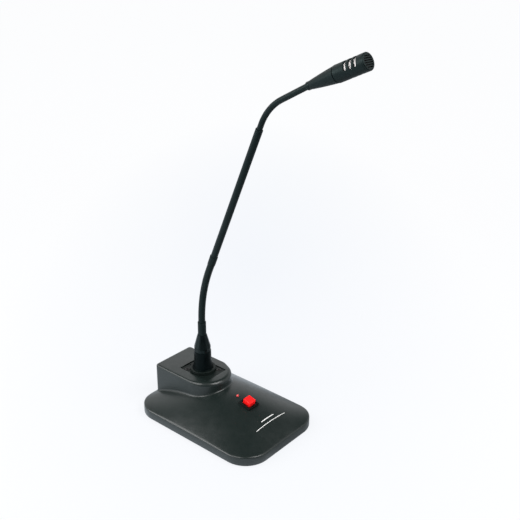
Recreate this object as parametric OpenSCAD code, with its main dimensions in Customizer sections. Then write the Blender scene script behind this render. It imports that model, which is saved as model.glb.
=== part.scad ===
// Desk microphone: a moulded base with a push button and a plug-in gooseneck.
// Millimetres, +Z up, the user sits towards -Y. The origin is on the table,
// under the middle of the whole object.

/* [Base] */
// Width of the base
base_w = 100; // [94:1:120]
// Depth of the base
base_d = 144; // [140:1:170]
// Corner radius of the base seen from above
corner_r = 23.5; // [20:0.5:28]
// Height of the side wall up to the crowned top
rim_h = 7.8; // [7:0.2:11]
// Rise of the crowned top above the side wall
crown_h = 21.5; // [18:0.5:24]
// Distance of the crown's highest line from the front edge
crown_peak = 78.5; // [72:0.5:84]
// Rounding of the edge between wall and top
edge_round = 1.6; // [0.8:0.1:2.4]
// Wall thickness of the cover
cover_wall = 2.4; // [2:0.1:3]
// Thickness of the bottom plate
plate_t = 1.5; // [1:0.1:2.5]
// Height of the rubber feet
foot_h = 1.5; // [1:0.1:4]
// Diameter of a rubber foot
foot_d = 12; // [8:0.5:14]

/* [Hump] */
// Width of the hump that carries the socket
hump_w = 46.4; // [44:0.2:50]
// Length of the hump from its nose to the rear
hump_len = 71.5; // [68:0.5:76]
// Height of the hump's top edge above the lower edge of the cover
hump_top = 38.9; // [37:0.1:44]
// Rise of the hump's top from its edge to its middle
hump_crown = 0.6; // [0.2:0.1:1.5]
// Rounding of the hump's top edge
hump_round = 4; // [2:0.2:4.6]
// Corner radius of the hump's rear seen from above
hump_corner = 3; // [1:0.2:4]
// Thickness of the hump's roof
hump_roof = 5; // [4.5:0.1:6]

/* [Socket] */
// Distance of the plug axis from the rear of the base
socket_setback = 43.5; // [42:0.5:46]
// Width of the socket flange
flange_w = 25.2; // [25:0.2:27]
// Length of the socket flange
flange_l = 34.2; // [33:0.2:35]
// Thickness of the socket flange
flange_t = 2; // [1.6:0.1:2.4]
// How far the flange lies below the middle of the hump's top
flange_sink = 0.9; // [0.2:0.1:1.2]
// Outer diameter of the socket barrel
barrel_d = 23.6; // [23.2:0.1:24]
// Length of the socket barrel below the flange
barrel_len = 20; // [19:0.5:22]
// Height of the raised ring round the plug
ring_h = 3.2; // [2:0.1:3.6]
// Depth of the socket's bore below the flange face
socket_depth = 14; // [13:0.5:15]
// Travel of the release latch
latch_travel = 0.8; // [0.6:0.1:1.5]

/* [Button] */
// Distance of the button from the front edge
button_y = 43.5; // [36:0.5:46]
// Side of the red cap
cap_side = 8.4; // [8:0.1:9.4]
// Height of the cap above the cover
cap_h = 5.7; // [5:0.1:7]
// Side of the square bezel
bezel_side = 13.4; // [13:0.1:16]
// Travel of the button
button_travel = 3; // [2:0.1:3]
// Distance of the lamp from the front edge
lamp_y = 57; // [55:0.5:60]
// Diameter of the lamp
lamp_d = 2.1; // [2:0.1:4]

/* [Plug] */
// Outer diameter of the plug's skirt
plug_d = 19; // [18.6:0.1:19]
// Diameter of the plug's upper body
plug_top_d = 16.2; // [15.4:0.1:17]
// Length of the plug's body above the socket ring
plug_len = 17.8; // [16:0.2:24]
// Height of the flared foot of the plug's body
plug_flare = 8.6; // [6:0.2:12]
// Diameter at the foot of the boot
boot_d = 15.8; // [14.6:0.1:16.2]
// Length of the flatted boot
boot_len = 16.4; // [13:0.2:22]
// Diameter at the top of the boot
boot_top_d = 8.9; // [8.4:0.1:10]
// Diameter of the ferrule
ferrule_d = 7.8; // [7:0.1:8.2]
// Length of the ferrule
ferrule_len = 13; // [10:0.5:18]

/* [Neck] */
// Diameter of the lower flexible section
lower_d = 6.4; // [6.2:0.1:6.8]
// Length of the bent part of the lower section
lower_arc = 55.6; // [52:0.2:62]
// Turn of the lower section towards the user
lower_bend = 22.9; // [10:0.5:26]
// Straight end of the lower section
lower_tail = 6.4; // [5:0.2:9]
// Diameter of the collar at the foot of the stem
collar_d = 7.1; // [6.9:0.1:8]
// Length of that collar
collar_len = 9.5; // [9:0.5:14]
// Diameter of the rigid stem
stem_d = 6.2; // [6:0.1:6.6]
// Length of the rigid stem above the collar
stem_len = 130; // [80:1:160]
// Diameter of the upper flexible section
upper_d = 4.8; // [4.6:0.1:5.2]
// Straight start of the upper section
upper_lead = 4.6; // [4:0.2:8]
// Length of the bent part of the upper section
upper_arc = 29.7; // [28:0.2:36]
// Turn of the upper section towards the user
upper_bend = 38.7; // [20:0.5:40]
// Straight end of the upper section
upper_tail = 27; // [20:0.5:28]
// Turn between the upper section and the head
head_turn = 3.8; // [0:0.2:5]
// Bend of one lower link to each side
lower_swing = 12; // [5:1:12]
// Bend of one upper link to each side
upper_swing = 15; // [5:1:15]

/* [Head] */
// Diameter of the slotted barrel
head_d = 13.1; // [12.6:0.1:14]
// Length of the collar behind the head
head_collar_len = 3; // [2.5:0.5:7]
// Diameter of that collar
head_collar_d = 6.4; // [6.2:0.1:6.6]
// Distance from the neck to the seam of the barrel
seam_at = 27.5; // [25:0.5:36]
// Length of the slotted barrel
head_barrel_len = 25.5; // [24:0.5:30]
// Thickness of the front grille
grille_t = 1.7; // [1.4:0.1:2.5]
// Distance from the seam to the first slot
slot_from_seam = 11; // [10:0.2:12]
// Distance between the slots
slot_pitch = 4.4; // [4:0.1:4.6]
// Width of a slot
slot_w = 2.2; // [1.4:0.1:2.6]
// Angle that a slot takes up round the barrel
slot_span = 103; // [70:1:110]
// Direction of the slots round the head
slot_turn = 134; // [0:1:180]
// Direction of the front slits round the head
slit_turn = 90; // [0:1:180]

/* [Inside] */
// Width of one ballast bar
ballast_w = 20; // [12:1:20]
// Length of a ballast bar
ballast_l = 80; // [50:1:84]
// Height of a ballast bar
ballast_h = 8; // [5:0.5:9]
// Width of the circuit board
board_w = 30; // [28:1:32]
// Length of the circuit board
board_l = 76; // [74:1:78]
// Thickness of the circuit board
board_t = 1.6; // [1:0.1:2]
// Height of the board above the bottom plate
board_lift = 5; // [4:0.5:6]
// Bore of the cable outlet
outlet_bore_d = 5.2; // [4:0.1:6]
// Height of the cable outlet
outlet_z = 17; // [16.5:0.5:19]

/* [Hidden] */
$fn = 64;
eps = 0.01;
// How far a cut runs past the face it opens
over = 1;
// Clearances: fitted parts, sliding parts, close running fits and stops
fit = 0.1;
slide = 0.2;
running = 0.05;
stop_gap = 0.05;

// Base
mid_y = base_d / 2;
plug_y = base_d - socket_setback;
corner_steps = 7;
crown_scales = [0.985, 0.95, 0.9, 0.82, 0.72, 0.6, 0.45, 0.28, 0.1];
plate_gap = 0.3;
foot_x_inset = 14;
foot_x = base_w / 2 - foot_x_inset;
foot_y_inset = 24;
foot_ys = [foot_y_inset, base_d - foot_y_inset];
foot_chamfer = 0.4;

// Screws that hold the bottom plate
screw_d = 2.9;
screw_len = 7;
screw_head_d = 5.4;
screw_head_h = 1.1;
boss_d = 7;
boss_x_inset = 24;
boss_x = base_w / 2 - boss_x_inset;
boss_y_inset = 12;
boss_ys = [boss_y_inset, base_d - boss_y_inset];

// Hump
nose_y = base_d - hump_len;
nose_r = hump_w / 2;
nose_cy = nose_y + nose_r;
hump_rear_gap = 2.6;
hump_mid = (nose_y + base_d - hump_rear_gap) / 2;
hump_half = hump_mid - nose_y;
brink_r = nose_r - hump_round;
brink_half = hump_half - hump_round;
hump_scales = [0.8, 0.55, 0.25];
nose_steps = 28;
round_steps = 4;
hump_corner_min = 0.4;
hump_corner_steps = 4;

// Socket levels, measured from the lower edge of the cover
flange_top = hump_top + hump_crown - flange_sink;
flange_z = flange_top - flange_t;
barrel_z = flange_z - barrel_len;
socket_floor = flange_top - socket_depth;
ring_lip = 0.2;
ring_d = barrel_d + 2 * ring_lip;
ring_top = flange_top + ring_h;
plug_play = 0.15;
socket_bore_d = plug_d + 2 * plug_play;
flange_r = 0.8;
flange_screw_dx = 9.3;
flange_screw_dy = 11.6;
flange_screw_len = 6;
csk_d = 5.2;
csk_h = 1.4;
cross_w = 0.7;
pocket_gap = 0.3;

// Contacts and pins of the plug connection
skirt_wall = 1.3;
skirt_id = plug_d - 2 * skirt_wall;
insert_play = 0.25;
insert_d = skirt_id - 2 * insert_play;
insert_sink = 0.8;
insert_top = flange_top - insert_sink;
pin_d = 2.4;
pin_circle_r = 4.05;
pin_angles = [30, 150, 270];
contact_bore_d = pin_d + 2 * running;
contact_wall = 0.35;
contact_d = contact_bore_d + 2 * contact_wall;
contact_sink = 0.5;
contact_top = insert_top - contact_sink;
contact_root = 2;
contact_z = socket_floor - contact_root;
contact_bore_z = socket_floor + contact_wall;
tail_d = 1.8;
tail_len = 9;

// Release latch at the rear of the socket
latch_w = 5;
latch_t = 2.2;
latch_gap = 0.55;
latch_y = plug_y + ring_d / 2 + latch_gap;
latch_left = 0.3;
latch_proud = latch_travel + latch_left;
latch_shoulder = 0.6;
latch_shoulder_h = 3;
latch_len = 9;
latch_spring_len = 5;
latch_spring_d = 2.1;
latch_wire = 0.35;
latch_turns = 4;
shelf_t = 2;
shelf_z = flange_z - latch_len - latch_spring_len - shelf_t;

// Button, in a frame whose origin is on the crown and whose Z is its normal
bezel_sink = 0.3;
bezel_h = 1.9;
bezel_wall = 1;
bezel_open = cap_side + 2 * slide;
bezel_body = bezel_open + 2 * bezel_wall;
bezel_deep = 6;
spring_pit_d = 6.8;
spring_pit_deep = 5;
spring_pit_bottom = bezel_deep + spring_pit_deep;
cap_deep = 2.5;
plunger_d = 3.6;
plunger_spigot_d = 2.4;
plunger_spigot_len = 3;
plunger_guide = 0.8;
plunger_bottom = spring_pit_bottom + plunger_guide;
switch_bottom = plunger_bottom + button_travel + slide;
switch_len = switch_bottom - bezel_deep;
spring_d = 5.4;
spring_wire = 0.5;
spring_turns = 5;
terminal_w = 2;
terminal_t = 0.5;
terminal_len = 2.5;
terminal_x = 3.2;

// Lamp
lamp_proud = 0.3;
lamp_rim = 0.45;
lamp_rim_h = 0.8;
lamp_seat = 0.6;
lamp_deep = cover_wall + lamp_seat + lamp_rim_h;
lead_d = 0.5;
lead_x = 0.75;

// Plug levels
plug_z = socket_floor + stop_gap;
plug_body_z = ring_top + pocket_gap;
plug_step = 0.2;
plug_body_d = plug_d - 2 * plug_step;
plug_flare_z = ring_top + plug_flare;
plug_top = ring_top + plug_len;
plug_insert_up = 1.8;
plug_insert_z = flange_top + plug_insert_up;
plug_insert_h = 4;
plug_hollow_d = 12;
plug_hollow_z = plug_insert_z + plug_insert_h + fit;
pin_tip_gap = 1.5;
pin_tip = contact_bore_z + pin_tip_gap;
pin_cup_len = 4;
pin_top = plug_hollow_z + pin_cup_len;
boot_spigot_d = plug_hollow_d - 2 * fit;
boot_spigot_len = 5;
boot_bore_d = 4;
boot_sides = 8;
boot_spread = 1.05;
boot_skirt = 3.8;
boot_top = plug_top + boot_len;
ferrule_spigot_len = 5;
ferrule_spigot_d = boot_bore_d - 2 * running;
ferrule_top = boot_top + ferrule_len;
wire_d = 1.4;

// Neck: a chain of straight and bent stretches, each [length, turn]
lower_lead = 1;
kink_len = 0.5;
lower_len = lower_lead + lower_arc + lower_tail;
upper_len = upper_lead + upper_arc + upper_tail;
upper_start = lower_len + collar_len + stem_len;
head_start = upper_start + upper_len;
head_len = seam_at + head_barrel_len + grille_t;
neck_path = [
    [lower_lead, 0],
    [lower_arc, lower_bend],
    [lower_tail + collar_len + stem_len + upper_lead, 0],
    [upper_arc, upper_bend],
    [upper_tail - kink_len, 0],
    [kink_len, head_turn],
    [head_len, 0]
];
joints_each = 7;
links_each = joints_each - 1;

// Ball joints of the neck
gap_spare = 0.15;
lower_ball = 2.3;
lower_wrap = 0.5;
lower_rest = lower_bend * lower_len / joints_each / lower_arc;
lower_gap = link_gap(lower_d, lower_wrap, lower_swing + lower_rest);
upper_ball = 1.7;
upper_wrap = 0.3;
upper_rest = upper_bend * upper_len / joints_each / upper_arc;
upper_gap = link_gap(upper_d, upper_wrap, upper_swing + upper_rest);
ball_neck = 0.62;
root_in = 1;
cup_clear = 0.08;

// Stem and head
stem_wall = 0.7;
stem_id = stem_d - 2 * stem_wall;
stem_seat = 5;
head_bore_d = 2.2;
spigot_len = 8;
housing_wall = 1.2;
housing_belly = 0.2;
seam_step = 0.25;
spigot_wall = 0.9;
housing_spigot_len = 4;
head_wall = 0.85;
head_id = head_d - 2 * head_wall;
seam_gap = 0.05;
mesh_t = 0.3;
mesh_d = head_id - 2 * fit;
grille_spigot = 1.4;
grille_round = 0.7;
grille_slits = 6;
slit_w = 0.8;
slit_pitch = 1.55;
capsule_d = 9.7;
capsule_len = 6;
holder_len = 8;
holder_from_seam = 9;
slot_count = 3;

// Bottom interior
ballast_gap = 3;
ballast_x = board_w / 2 + ballast_gap;
board_front = 3;
board_rear_gap = 14;
// The board starts under the lamp, or further forward in a short base
board_y = min(lamp_y - board_front, base_d - board_rear_gap - board_l);
board_rear = board_y + board_l;
board_z = plate_t + board_lift;
board_top = board_z + board_t;
post_d = 5.6;
post_inset = 4;
board_screw_d = 2.4;
board_screw_head_d = 4.4;
board_screw_head_h = 1.4;
board_screw_len = 5;
outlet_d = 9.6;
outlet_lip_d = 13;
outlet_lip_t = 1.8;
outlet_inner = 6;
outlet_groove = 0.3;

// Gap between two links that lets them tilt by an angle without touching
function link_gap(d, wrap, tilt) =
    (wrap + gap_spare + d / 2 * sin(tilt)) / cos(tilt) - wrap;

// Rise of the crowned top above the rim, and its height on the centre line
function crown_run(y) = y < crown_peak ? crown_peak : base_d - crown_peak;
function crown_rise(x, y) =
    crown_h * (1 - pow(2 * x / base_w, 2)) * (1 - pow((y - crown_peak) / crown_run(y), 2));
function crown_at(y) = rim_h + crown_rise(0, y);
function crown_slope(y) = atan(2 * crown_h * (crown_peak - y) / pow(crown_run(y), 2));

// Pose [y, z, tilt] after a stretch d of a piece of path, from pose p
function advance(p, d, len, turn) =
    turn == 0
        ? [p[0] - d * sin(p[2]), p[1] + d * cos(p[2]), p[2]]
        : let (r = len / (turn * PI / 180), t = p[2] + turn * d / len)
            [p[0] - r * (cos(p[2]) - cos(t)), p[1] + r * (sin(t) - sin(p[2])), t];
function neck_pose(s, i = 0, p = [plug_y, ferrule_top, 0]) =
    let (len = neck_path[i][0], turn = neck_path[i][1])
        s <= len || i == len(neck_path) - 1
            ? advance(p, s, len, turn)
            : neck_pose(s - len, i + 1, advance(p, len, len, turn));
function lower_joint_s(i) = lower_len * (i + 0.5) / joints_each;
function upper_joint_s(i) = upper_start + upper_len * (i + 0.5) / joints_each;
function chord_len(a, b) = norm([b[0] - a[0], b[1] - a[1]]);
function chord_tilt(a, b) = atan2(a[0] - b[0], b[1] - a[1]);

// Front of the object: lower edge of the head's rounded front
head_pose = neck_pose(head_start);
head_tilt = head_pose[2];
rim_back = head_len - grille_round;
reach_y = head_pose[0] - rim_back * sin(head_tilt)
    - (head_d / 2 - grille_round) * cos(head_tilt) - grille_round;
rear_y = base_d + max(0, outlet_lip_t - hump_rear_gap);
origin_y = (reach_y + rear_y) / 2;

// Moves a piece from the base's own frame, which starts at the lower front
// edge of the cover, to the frame of the object
module placed() {
    translate([0, -origin_y, foot_h]) children();
}

// Frame on the crown with Z along the surface normal
module on_crown(y) {
    translate([0, y, crown_at(y)]) rotate([crown_slope(y), 0, 0]) children();
}

// Frame on the plug axis
module on_plug() {
    translate([0, plug_y, 0]) children();
}

// Frame at a pose of the neck with Z along it
module at_pose(p, tilt) {
    translate([0, p[0], p[1]]) rotate([tilt, 0, 0]) children();
}

module at_head() {
    at_pose(head_pose, head_tilt) children();
}

// Closed solid through rings of equally many points, listed upwards
module loft(rings) {
    n = len(rings[0]);
    last = len(rings) - 1;
    polyhedron(
        points = [for (r = rings) each r],
        faces = concat(
            [[for (i = [0 : n - 1]) i]],
            [for (j = [0 : last - 1]) for (i = [0 : n - 1])
                [j * n + i, (j + 1) * n + i, (j + 1) * n + (i + 1) % n]],
            [for (j = [0 : last - 1]) for (i = [0 : n - 1])
                [j * n + i, (j + 1) * n + (i + 1) % n, j * n + (i + 1) % n]],
            [[for (i = [n - 1 : -1 : 0]) last * n + i]]));
}

// Outline of the base, drawn in by an inset and shrunk towards the crown's peak
function base_ring(inset, s, z) =
    let (r = corner_r - inset, hw = base_w / 2 - corner_r, hd = base_d / 2 - corner_r)
        [for (c = [0 : 3]) for (k = [0 : corner_steps])
            let (a = 90 * c + 90 * k / corner_steps,
                 sx = c == 0 || c == 3 ? 1 : -1, sy = c < 2 ? 1 : -1)
                [s * (sx * hw + r * cos(a)),
                 crown_peak + s * (mid_y - crown_peak + sy * hd + r * sin(a)), z]];

// Crowned block: straight wall, rounded edge and a domed top
module crowned_block(inset, bottom) {
    rim = rim_h - inset;
    loft(concat(
        [base_ring(inset, 1, bottom), base_ring(inset, 1, rim - edge_round)],
        [for (s = crown_scales)
            [for (p = base_ring(inset, s, rim)) p + [0, 0, crown_rise(p[0], p[1])]]]));
}

// Outline of the hump: round nose to the front, small corners to the rear
function hump_ring(inset, z) =
    let (r = nose_r - inset,
         c = max(hump_corner - inset, hump_corner_min),
         rear = base_d - hump_rear_gap - inset - c)
        concat(
            [for (k = [0 : nose_steps])
                let (a = 180 + 180 * k / nose_steps) [r * cos(a), nose_cy + r * sin(a), z]],
            [for (k = [0 : hump_corner_steps])
                let (a = 90 * k / hump_corner_steps) [r - c + c * cos(a), rear + c * sin(a), z]],
            [for (k = [0 : hump_corner_steps])
                let (a = 90 + 90 * k / hump_corner_steps) [c - r + c * cos(a), rear + c * sin(a), z]]);

// Height of the hump's crowned top
function hump_rise(x, y) =
    hump_crown * (1 - pow(x / brink_r, 2)) * (1 - pow((y - hump_mid) / brink_half, 2));

module hump_block() {
    top_ring = hump_ring(hump_round, hump_top);
    loft(concat(
        [hump_ring(0, plate_t)],
        [for (k = [0 : round_steps])
            let (a = 90 * k / round_steps)
                hump_ring(hump_round * (1 - cos(a)), hump_top - hump_round * (1 - sin(a)))],
        [for (s = hump_scales)
            [for (p = top_ring)
                let (x = s * p[0], y = hump_mid + s * (p[1] - hump_mid))
                    [x, y, hump_top + hump_rise(x, y)]]]));
}

// Room under the hump's roof
module hump_hollow() {
    r = nose_r - cover_wall;
    translate([0, 0, -eps])
        linear_extrude(hump_top - hump_roof + eps)
            union() {
                translate([0, nose_cy]) circle(r);
                translate([-r, nose_cy])
                    square([2 * r, base_d - hump_rear_gap - cover_wall - nose_cy]);
            }
}

module rounded_plate(w, l, r, h) {
    linear_extrude(h)
        union() {
            square([w - 2 * r, l], center = true);
            square([w, l - 2 * r], center = true);
            for (x = [-1, 1], y = [-1, 1])
                translate([x * (w / 2 - r), y * (l / 2 - r)]) circle(r);
        }
}

module centred_box(w, l, h) {
    translate([-w / 2, -l / 2, 0]) cube([w, l, h]);
}

module ring_tube(outer_d, inner_d, h) {
    difference() {
        cylinder(d = outer_d, h = h);
        translate([0, 0, -eps]) cylinder(d = inner_d, h = h + 2 * eps);
    }
}

// Round wire wound into a coil that stands on Z = 0
module coil(d, wire, h, turns) {
    steps = 12;
    sides = 6;
    r = (d - wire) / 2;
    rise = h - wire;
    count = turns * steps;
    function ring_at(k) =
        let (a = 360 * k / steps, z = wire / 2 + rise * k / count)
            [for (j = [0 : sides - 1])
                let (b = 360 * j / sides, q = r + wire / 2 * cos(b))
                    [q * cos(a), q * sin(a), z + wire / 2 * sin(b)]];
    points = [for (k = [0 : count]) each ring_at(k)];
    polyhedron(
        points = points,
        faces = concat(
            [[for (j = [0 : sides - 1]) j]],
            [for (k = [0 : count - 1]) for (j = [0 : sides - 1])
                [k * sides + j, (k + 1) * sides + j, (k + 1) * sides + (j + 1) % sides]],
            [for (k = [0 : count - 1]) for (j = [0 : sides - 1])
                [k * sides + j, (k + 1) * sides + (j + 1) % sides, k * sides + (j + 1) % sides]],
            [[for (j = [sides - 1 : -1 : 0]) count * sides + j]]));
}

module at_bosses() {
    for (x = [-boss_x, boss_x], y = boss_ys)
        translate([x, y, 0]) children();
}

module at_flange_screws() {
    on_plug()
        for (s = [-1, 1])
            translate([-s * flange_screw_dx, s * flange_screw_dy, 0]) children();
}

module at_pins() {
    on_plug()
        for (a = pin_angles)
            rotate(a) translate([pin_circle_r, 0, 0]) children();
}

// Lower ends of the switch's terminals
module at_terminals() {
    on_crown(button_y)
        for (x = [-terminal_x, terminal_x], y = [-terminal_x, terminal_x])
            translate([x, y, -switch_bottom - terminal_len]) children();
}

module at_board_posts() {
    for (x = [-1, 1], y = [board_y + post_inset, board_rear - post_inset])
        translate([x * (board_w / 2 - post_inset), y, 0]) children();
}

module top_cover() {
    color([0.20, 0.21, 0.22])
        placed()
            difference() {
                union() {
                    difference() {
                        union() {
                            crowned_block(0, 0);
                            hump_block();
                        }
                        crowned_block(cover_wall, -eps);
                        hump_hollow();
                    }
                    intersection() {
                        crowned_block(cover_wall / 2, 0);
                        translate([0, 0, plate_t])
                            at_bosses() cylinder(d = boss_d, h = rim_h + crown_h);
                    }
                }
                translate([0, 0, plate_t - eps])
                    at_bosses() cylinder(d = screw_d + 2 * running, h = screw_len);
                socket_cutout();
                on_crown(button_y) button_cutout();
                on_crown(lamp_y)
                    translate([0, 0, -2 * cover_wall])
                        cylinder(d = lamp_d + 2 * fit, h = 4 * cover_wall);
                outlet_frame()
                    translate([0, 0, -outlet_lip_t])
                        cylinder(d = outlet_d + 2 * fit, h = 4 * cover_wall);
            }
}

// What the cover gives up for the socket
module socket_cutout() {
    below = hump_top - hump_roof - eps;
    on_plug() {
        translate([0, 0, flange_z])
            rounded_plate(flange_w + 2 * pocket_gap, flange_l + 2 * pocket_gap,
                          flange_r + pocket_gap, hump_top);
        translate([0, 0, below]) cylinder(d = barrel_d + 2 * pocket_gap, h = hump_roof);
        translate([-latch_w / 2 - latch_shoulder - pocket_gap, 0, below])
            cube([latch_w + 2 * latch_shoulder + 2 * pocket_gap,
                  latch_y - plug_y + latch_t + pocket_gap, hump_roof]);
    }
    translate([0, 0, below])
        at_flange_screws() cylinder(d = screw_d + 2 * running, h = hump_roof);
}

// Flat seat and square hole for the bezel, in the button's frame
module button_cutout() {
    translate([0, 0, -bezel_sink])
        centred_box(bezel_side + 2 * fit, bezel_side + 2 * fit, bezel_h + over);
    translate([0, 0, -2 * cover_wall])
        centred_box(bezel_body + 2 * fit, bezel_body + 2 * fit, 3 * cover_wall);
}

module bottom_plate() {
    edge = cover_wall + plate_gap;
    color("silver")
        placed()
            difference() {
                translate([0, mid_y, 0])
                    rounded_plate(base_w - 2 * edge, base_d - 2 * edge, corner_r - edge, plate_t);
                translate([0, 0, -eps])
                    at_bosses() cylinder(d = screw_d + 2 * slide, h = plate_t + 2 * eps);
            }
}

module ballast_bars() {
    color("dimgray")
        placed()
            for (x = [-ballast_x - ballast_w, ballast_x])
                translate([x, mid_y - ballast_l / 2, plate_t])
                    cube([ballast_w, ballast_l, ballast_h]);
}

module rubber_feet() {
    color([0.08, 0.08, 0.08])
        placed()
            for (x = [-foot_x, foot_x], y = foot_ys)
                translate([x, y, -foot_h]) {
                    cylinder(d1 = foot_d - 2 * foot_chamfer, d2 = foot_d, h = foot_chamfer);
                    translate([0, 0, foot_chamfer]) cylinder(d = foot_d, h = foot_h - foot_chamfer);
                }
}

module cover_screws() {
    color("gray")
        placed()
            at_bosses() {
                translate([0, 0, -screw_head_h]) cylinder(d = screw_head_d, h = screw_head_h);
                cylinder(d = screw_d, h = screw_len);
            }
}

module socket_housing() {
    color([0.09, 0.10, 0.10])
        placed()
            difference() {
                on_plug() {
                    translate([0, 0, flange_z])
                        rounded_plate(flange_w, flange_l, flange_r, flange_t);
                    translate([0, 0, flange_top]) cylinder(d = ring_d, h = ring_h);
                    translate([0, 0, barrel_z]) cylinder(d = barrel_d, h = barrel_len + eps);
                    translate([-latch_w / 2, 0, shelf_z])
                        cube([latch_w, latch_y - plug_y + latch_t, shelf_t]);
                }
                on_plug()
                    translate([0, 0, socket_floor])
                        cylinder(d = socket_bore_d, h = ring_top);
                translate([0, 0, barrel_z - eps])
                    at_pins() cylinder(d = contact_d + 2 * fit, h = barrel_len);
                translate([0, 0, flange_z - eps])
                    at_flange_screws() cylinder(d = screw_d + 2 * slide, h = flange_t + over);
                translate([0, 0, flange_top - csk_h])
                    at_flange_screws()
                        cylinder(d1 = screw_d + 2 * slide, d2 = csk_d + 2 * slide, h = csk_h + eps);
                translate([-latch_w / 2 - slide, latch_y - slide, flange_z - eps])
                    cube([latch_w + 2 * slide, latch_t + 2 * slide, flange_t + over]);
            }
}

module socket_insert() {
    color([0.12, 0.12, 0.12])
        placed()
            difference() {
                on_plug()
                    translate([0, 0, socket_floor]) cylinder(d = insert_d, h = insert_top - socket_floor);
                translate([0, 0, socket_floor - eps])
                    at_pins() cylinder(d = contact_d + 2 * running, h = socket_depth);
            }
}

module socket_contacts() {
    color("gold")
        placed()
            at_pins() {
                difference() {
                    translate([0, 0, contact_z]) cylinder(d = contact_d, h = contact_top - contact_z);
                    translate([0, 0, contact_bore_z]) cylinder(d = contact_bore_d, h = socket_depth);
                }
                translate([0, 0, contact_z - tail_len]) cylinder(d = tail_d, h = tail_len + eps);
            }
}

module socket_screws() {
    color("silver")
        placed()
            at_flange_screws() {
                translate([0, 0, flange_top - flange_screw_len])
                    cylinder(d = screw_d, h = flange_screw_len - csk_h + eps);
                difference() {
                    translate([0, 0, flange_top - csk_h]) cylinder(d1 = screw_d, d2 = csk_d, h = csk_h);
                    for (a = [0, 90])
                        rotate(a)
                            translate([0, 0, flange_top - csk_h / 2])
                                centred_box(csk_d / 2, cross_w, csk_h);
                }
            }
}

module release_latch() {
    color([0.16, 0.17, 0.17])
        placed()
            translate([0, latch_y, 0]) {
                translate([-latch_w / 2, 0, flange_z - latch_len])
                    cube([latch_w, latch_t, latch_len + flange_t + latch_proud]);
                translate([-latch_w / 2 - latch_shoulder, 0, flange_z - stop_gap - latch_shoulder_h])
                    cube([latch_w + 2 * latch_shoulder, latch_t, latch_shoulder_h]);
            }
}

module latch_spring() {
    color("lightgray")
        placed()
            translate([0, latch_y + latch_t / 2, shelf_z + shelf_t])
                coil(latch_spring_d, latch_wire, latch_spring_len - stop_gap, latch_turns);
}

module switch_bezel() {
    color([0.07, 0.08, 0.08])
        placed()
            on_crown(button_y)
                difference() {
                    union() {
                        translate([0, 0, -bezel_sink])
                            centred_box(bezel_side, bezel_side, bezel_h + bezel_sink);
                        translate([0, 0, -bezel_deep])
                            centred_box(bezel_body, bezel_body, bezel_deep);
                    }
                    translate([0, 0, -bezel_deep - eps])
                        centred_box(bezel_open, bezel_open, bezel_deep + bezel_h + over);
                }
}

module switch_body() {
    color([0.14, 0.14, 0.14])
        placed()
            on_crown(button_y)
                difference() {
                    translate([0, 0, -switch_bottom])
                        centred_box(bezel_body, bezel_body, switch_len);
                    translate([0, 0, -spring_pit_bottom])
                        cylinder(d = spring_pit_d, h = spring_pit_bottom - bezel_deep + eps);
                    translate([0, 0, -switch_bottom - eps])
                        cylinder(d = plunger_d + 2 * running, h = switch_len);
                }
}

module switch_terminals() {
    color("gold")
        placed()
            at_terminals() centred_box(terminal_t, terminal_w, terminal_len);
}

module button_cap() {
    color([0.95, 0.08, 0.08])
        placed()
            on_crown(button_y)
                difference() {
                    translate([0, 0, -cap_deep]) centred_box(cap_side, cap_side, cap_h + cap_deep);
                    translate([0, 0, -cap_deep - eps])
                        cylinder(d = plunger_spigot_d + 2 * running, h = plunger_spigot_len + fit);
                }
}

module button_plunger() {
    color("white")
        placed()
            on_crown(button_y) {
                translate([0, 0, -plunger_bottom])
                    cylinder(d = plunger_d, h = plunger_bottom - cap_deep);
                translate([0, 0, -cap_deep - eps])
                    cylinder(d = plunger_spigot_d, h = plunger_spigot_len);
            }
}

module button_spring() {
    color("lightgray")
        placed()
            on_crown(button_y)
                translate([0, 0, -spring_pit_bottom])
                    coil(spring_d, spring_wire, spring_pit_bottom - cap_deep - stop_gap, spring_turns);
}

module lamp() {
    color([0.92, 0.25, 0.27])
        placed()
            on_crown(lamp_y) {
                translate([0, 0, -lamp_deep]) cylinder(d = lamp_d, h = lamp_deep + lamp_proud);
                translate([0, 0, lamp_proud])
                    intersection() {
                        sphere(d = lamp_d);
                        cylinder(d = 2 * lamp_d, h = lamp_d);
                    }
                translate([0, 0, -lamp_deep])
                    cylinder(d = lamp_d + 2 * lamp_rim, h = lamp_rim_h);
            }
}

module lamp_leads() {
    down = cos(crown_slope(lamp_y));
    lead_len = (crown_at(lamp_y) - board_top) / down - lamp_deep - fit;
    color("silver")
        placed()
            on_crown(lamp_y)
                for (x = [-lead_x, lead_x])
                    translate([x, 0, -lamp_deep - lead_len]) cylinder(d = lead_d, h = lead_len, $fn = 16);
}

module circuit_board() {
    color([0.05, 0.35, 0.18])
        placed()
            difference() {
                translate([-board_w / 2, board_y, board_z]) cube([board_w, board_l, board_t]);
                translate([0, 0, board_z - eps])
                    at_board_posts() cylinder(d = board_screw_d + 2 * slide, h = board_t + 2 * eps);
                // Slots for the terminals where a short base brings the board under the switch
                at_terminals()
                    translate([0, 0, -board_t])
                        centred_box(terminal_t + 2 * slide, terminal_w + 2 * slide, terminal_len + board_t);
            }
}

module board_posts() {
    color("gold")
        placed()
            translate([0, 0, plate_t])
                at_board_posts() ring_tube(post_d, board_screw_d + 2 * running, board_lift);
}

module board_screws() {
    color("silver")
        placed()
            at_board_posts() {
                translate([0, 0, board_top])
                    cylinder(d = board_screw_head_d, h = board_screw_head_h);
                translate([0, 0, board_top - board_screw_len])
                    cylinder(d = board_screw_d, h = board_screw_len + eps);
            }
}

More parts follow.
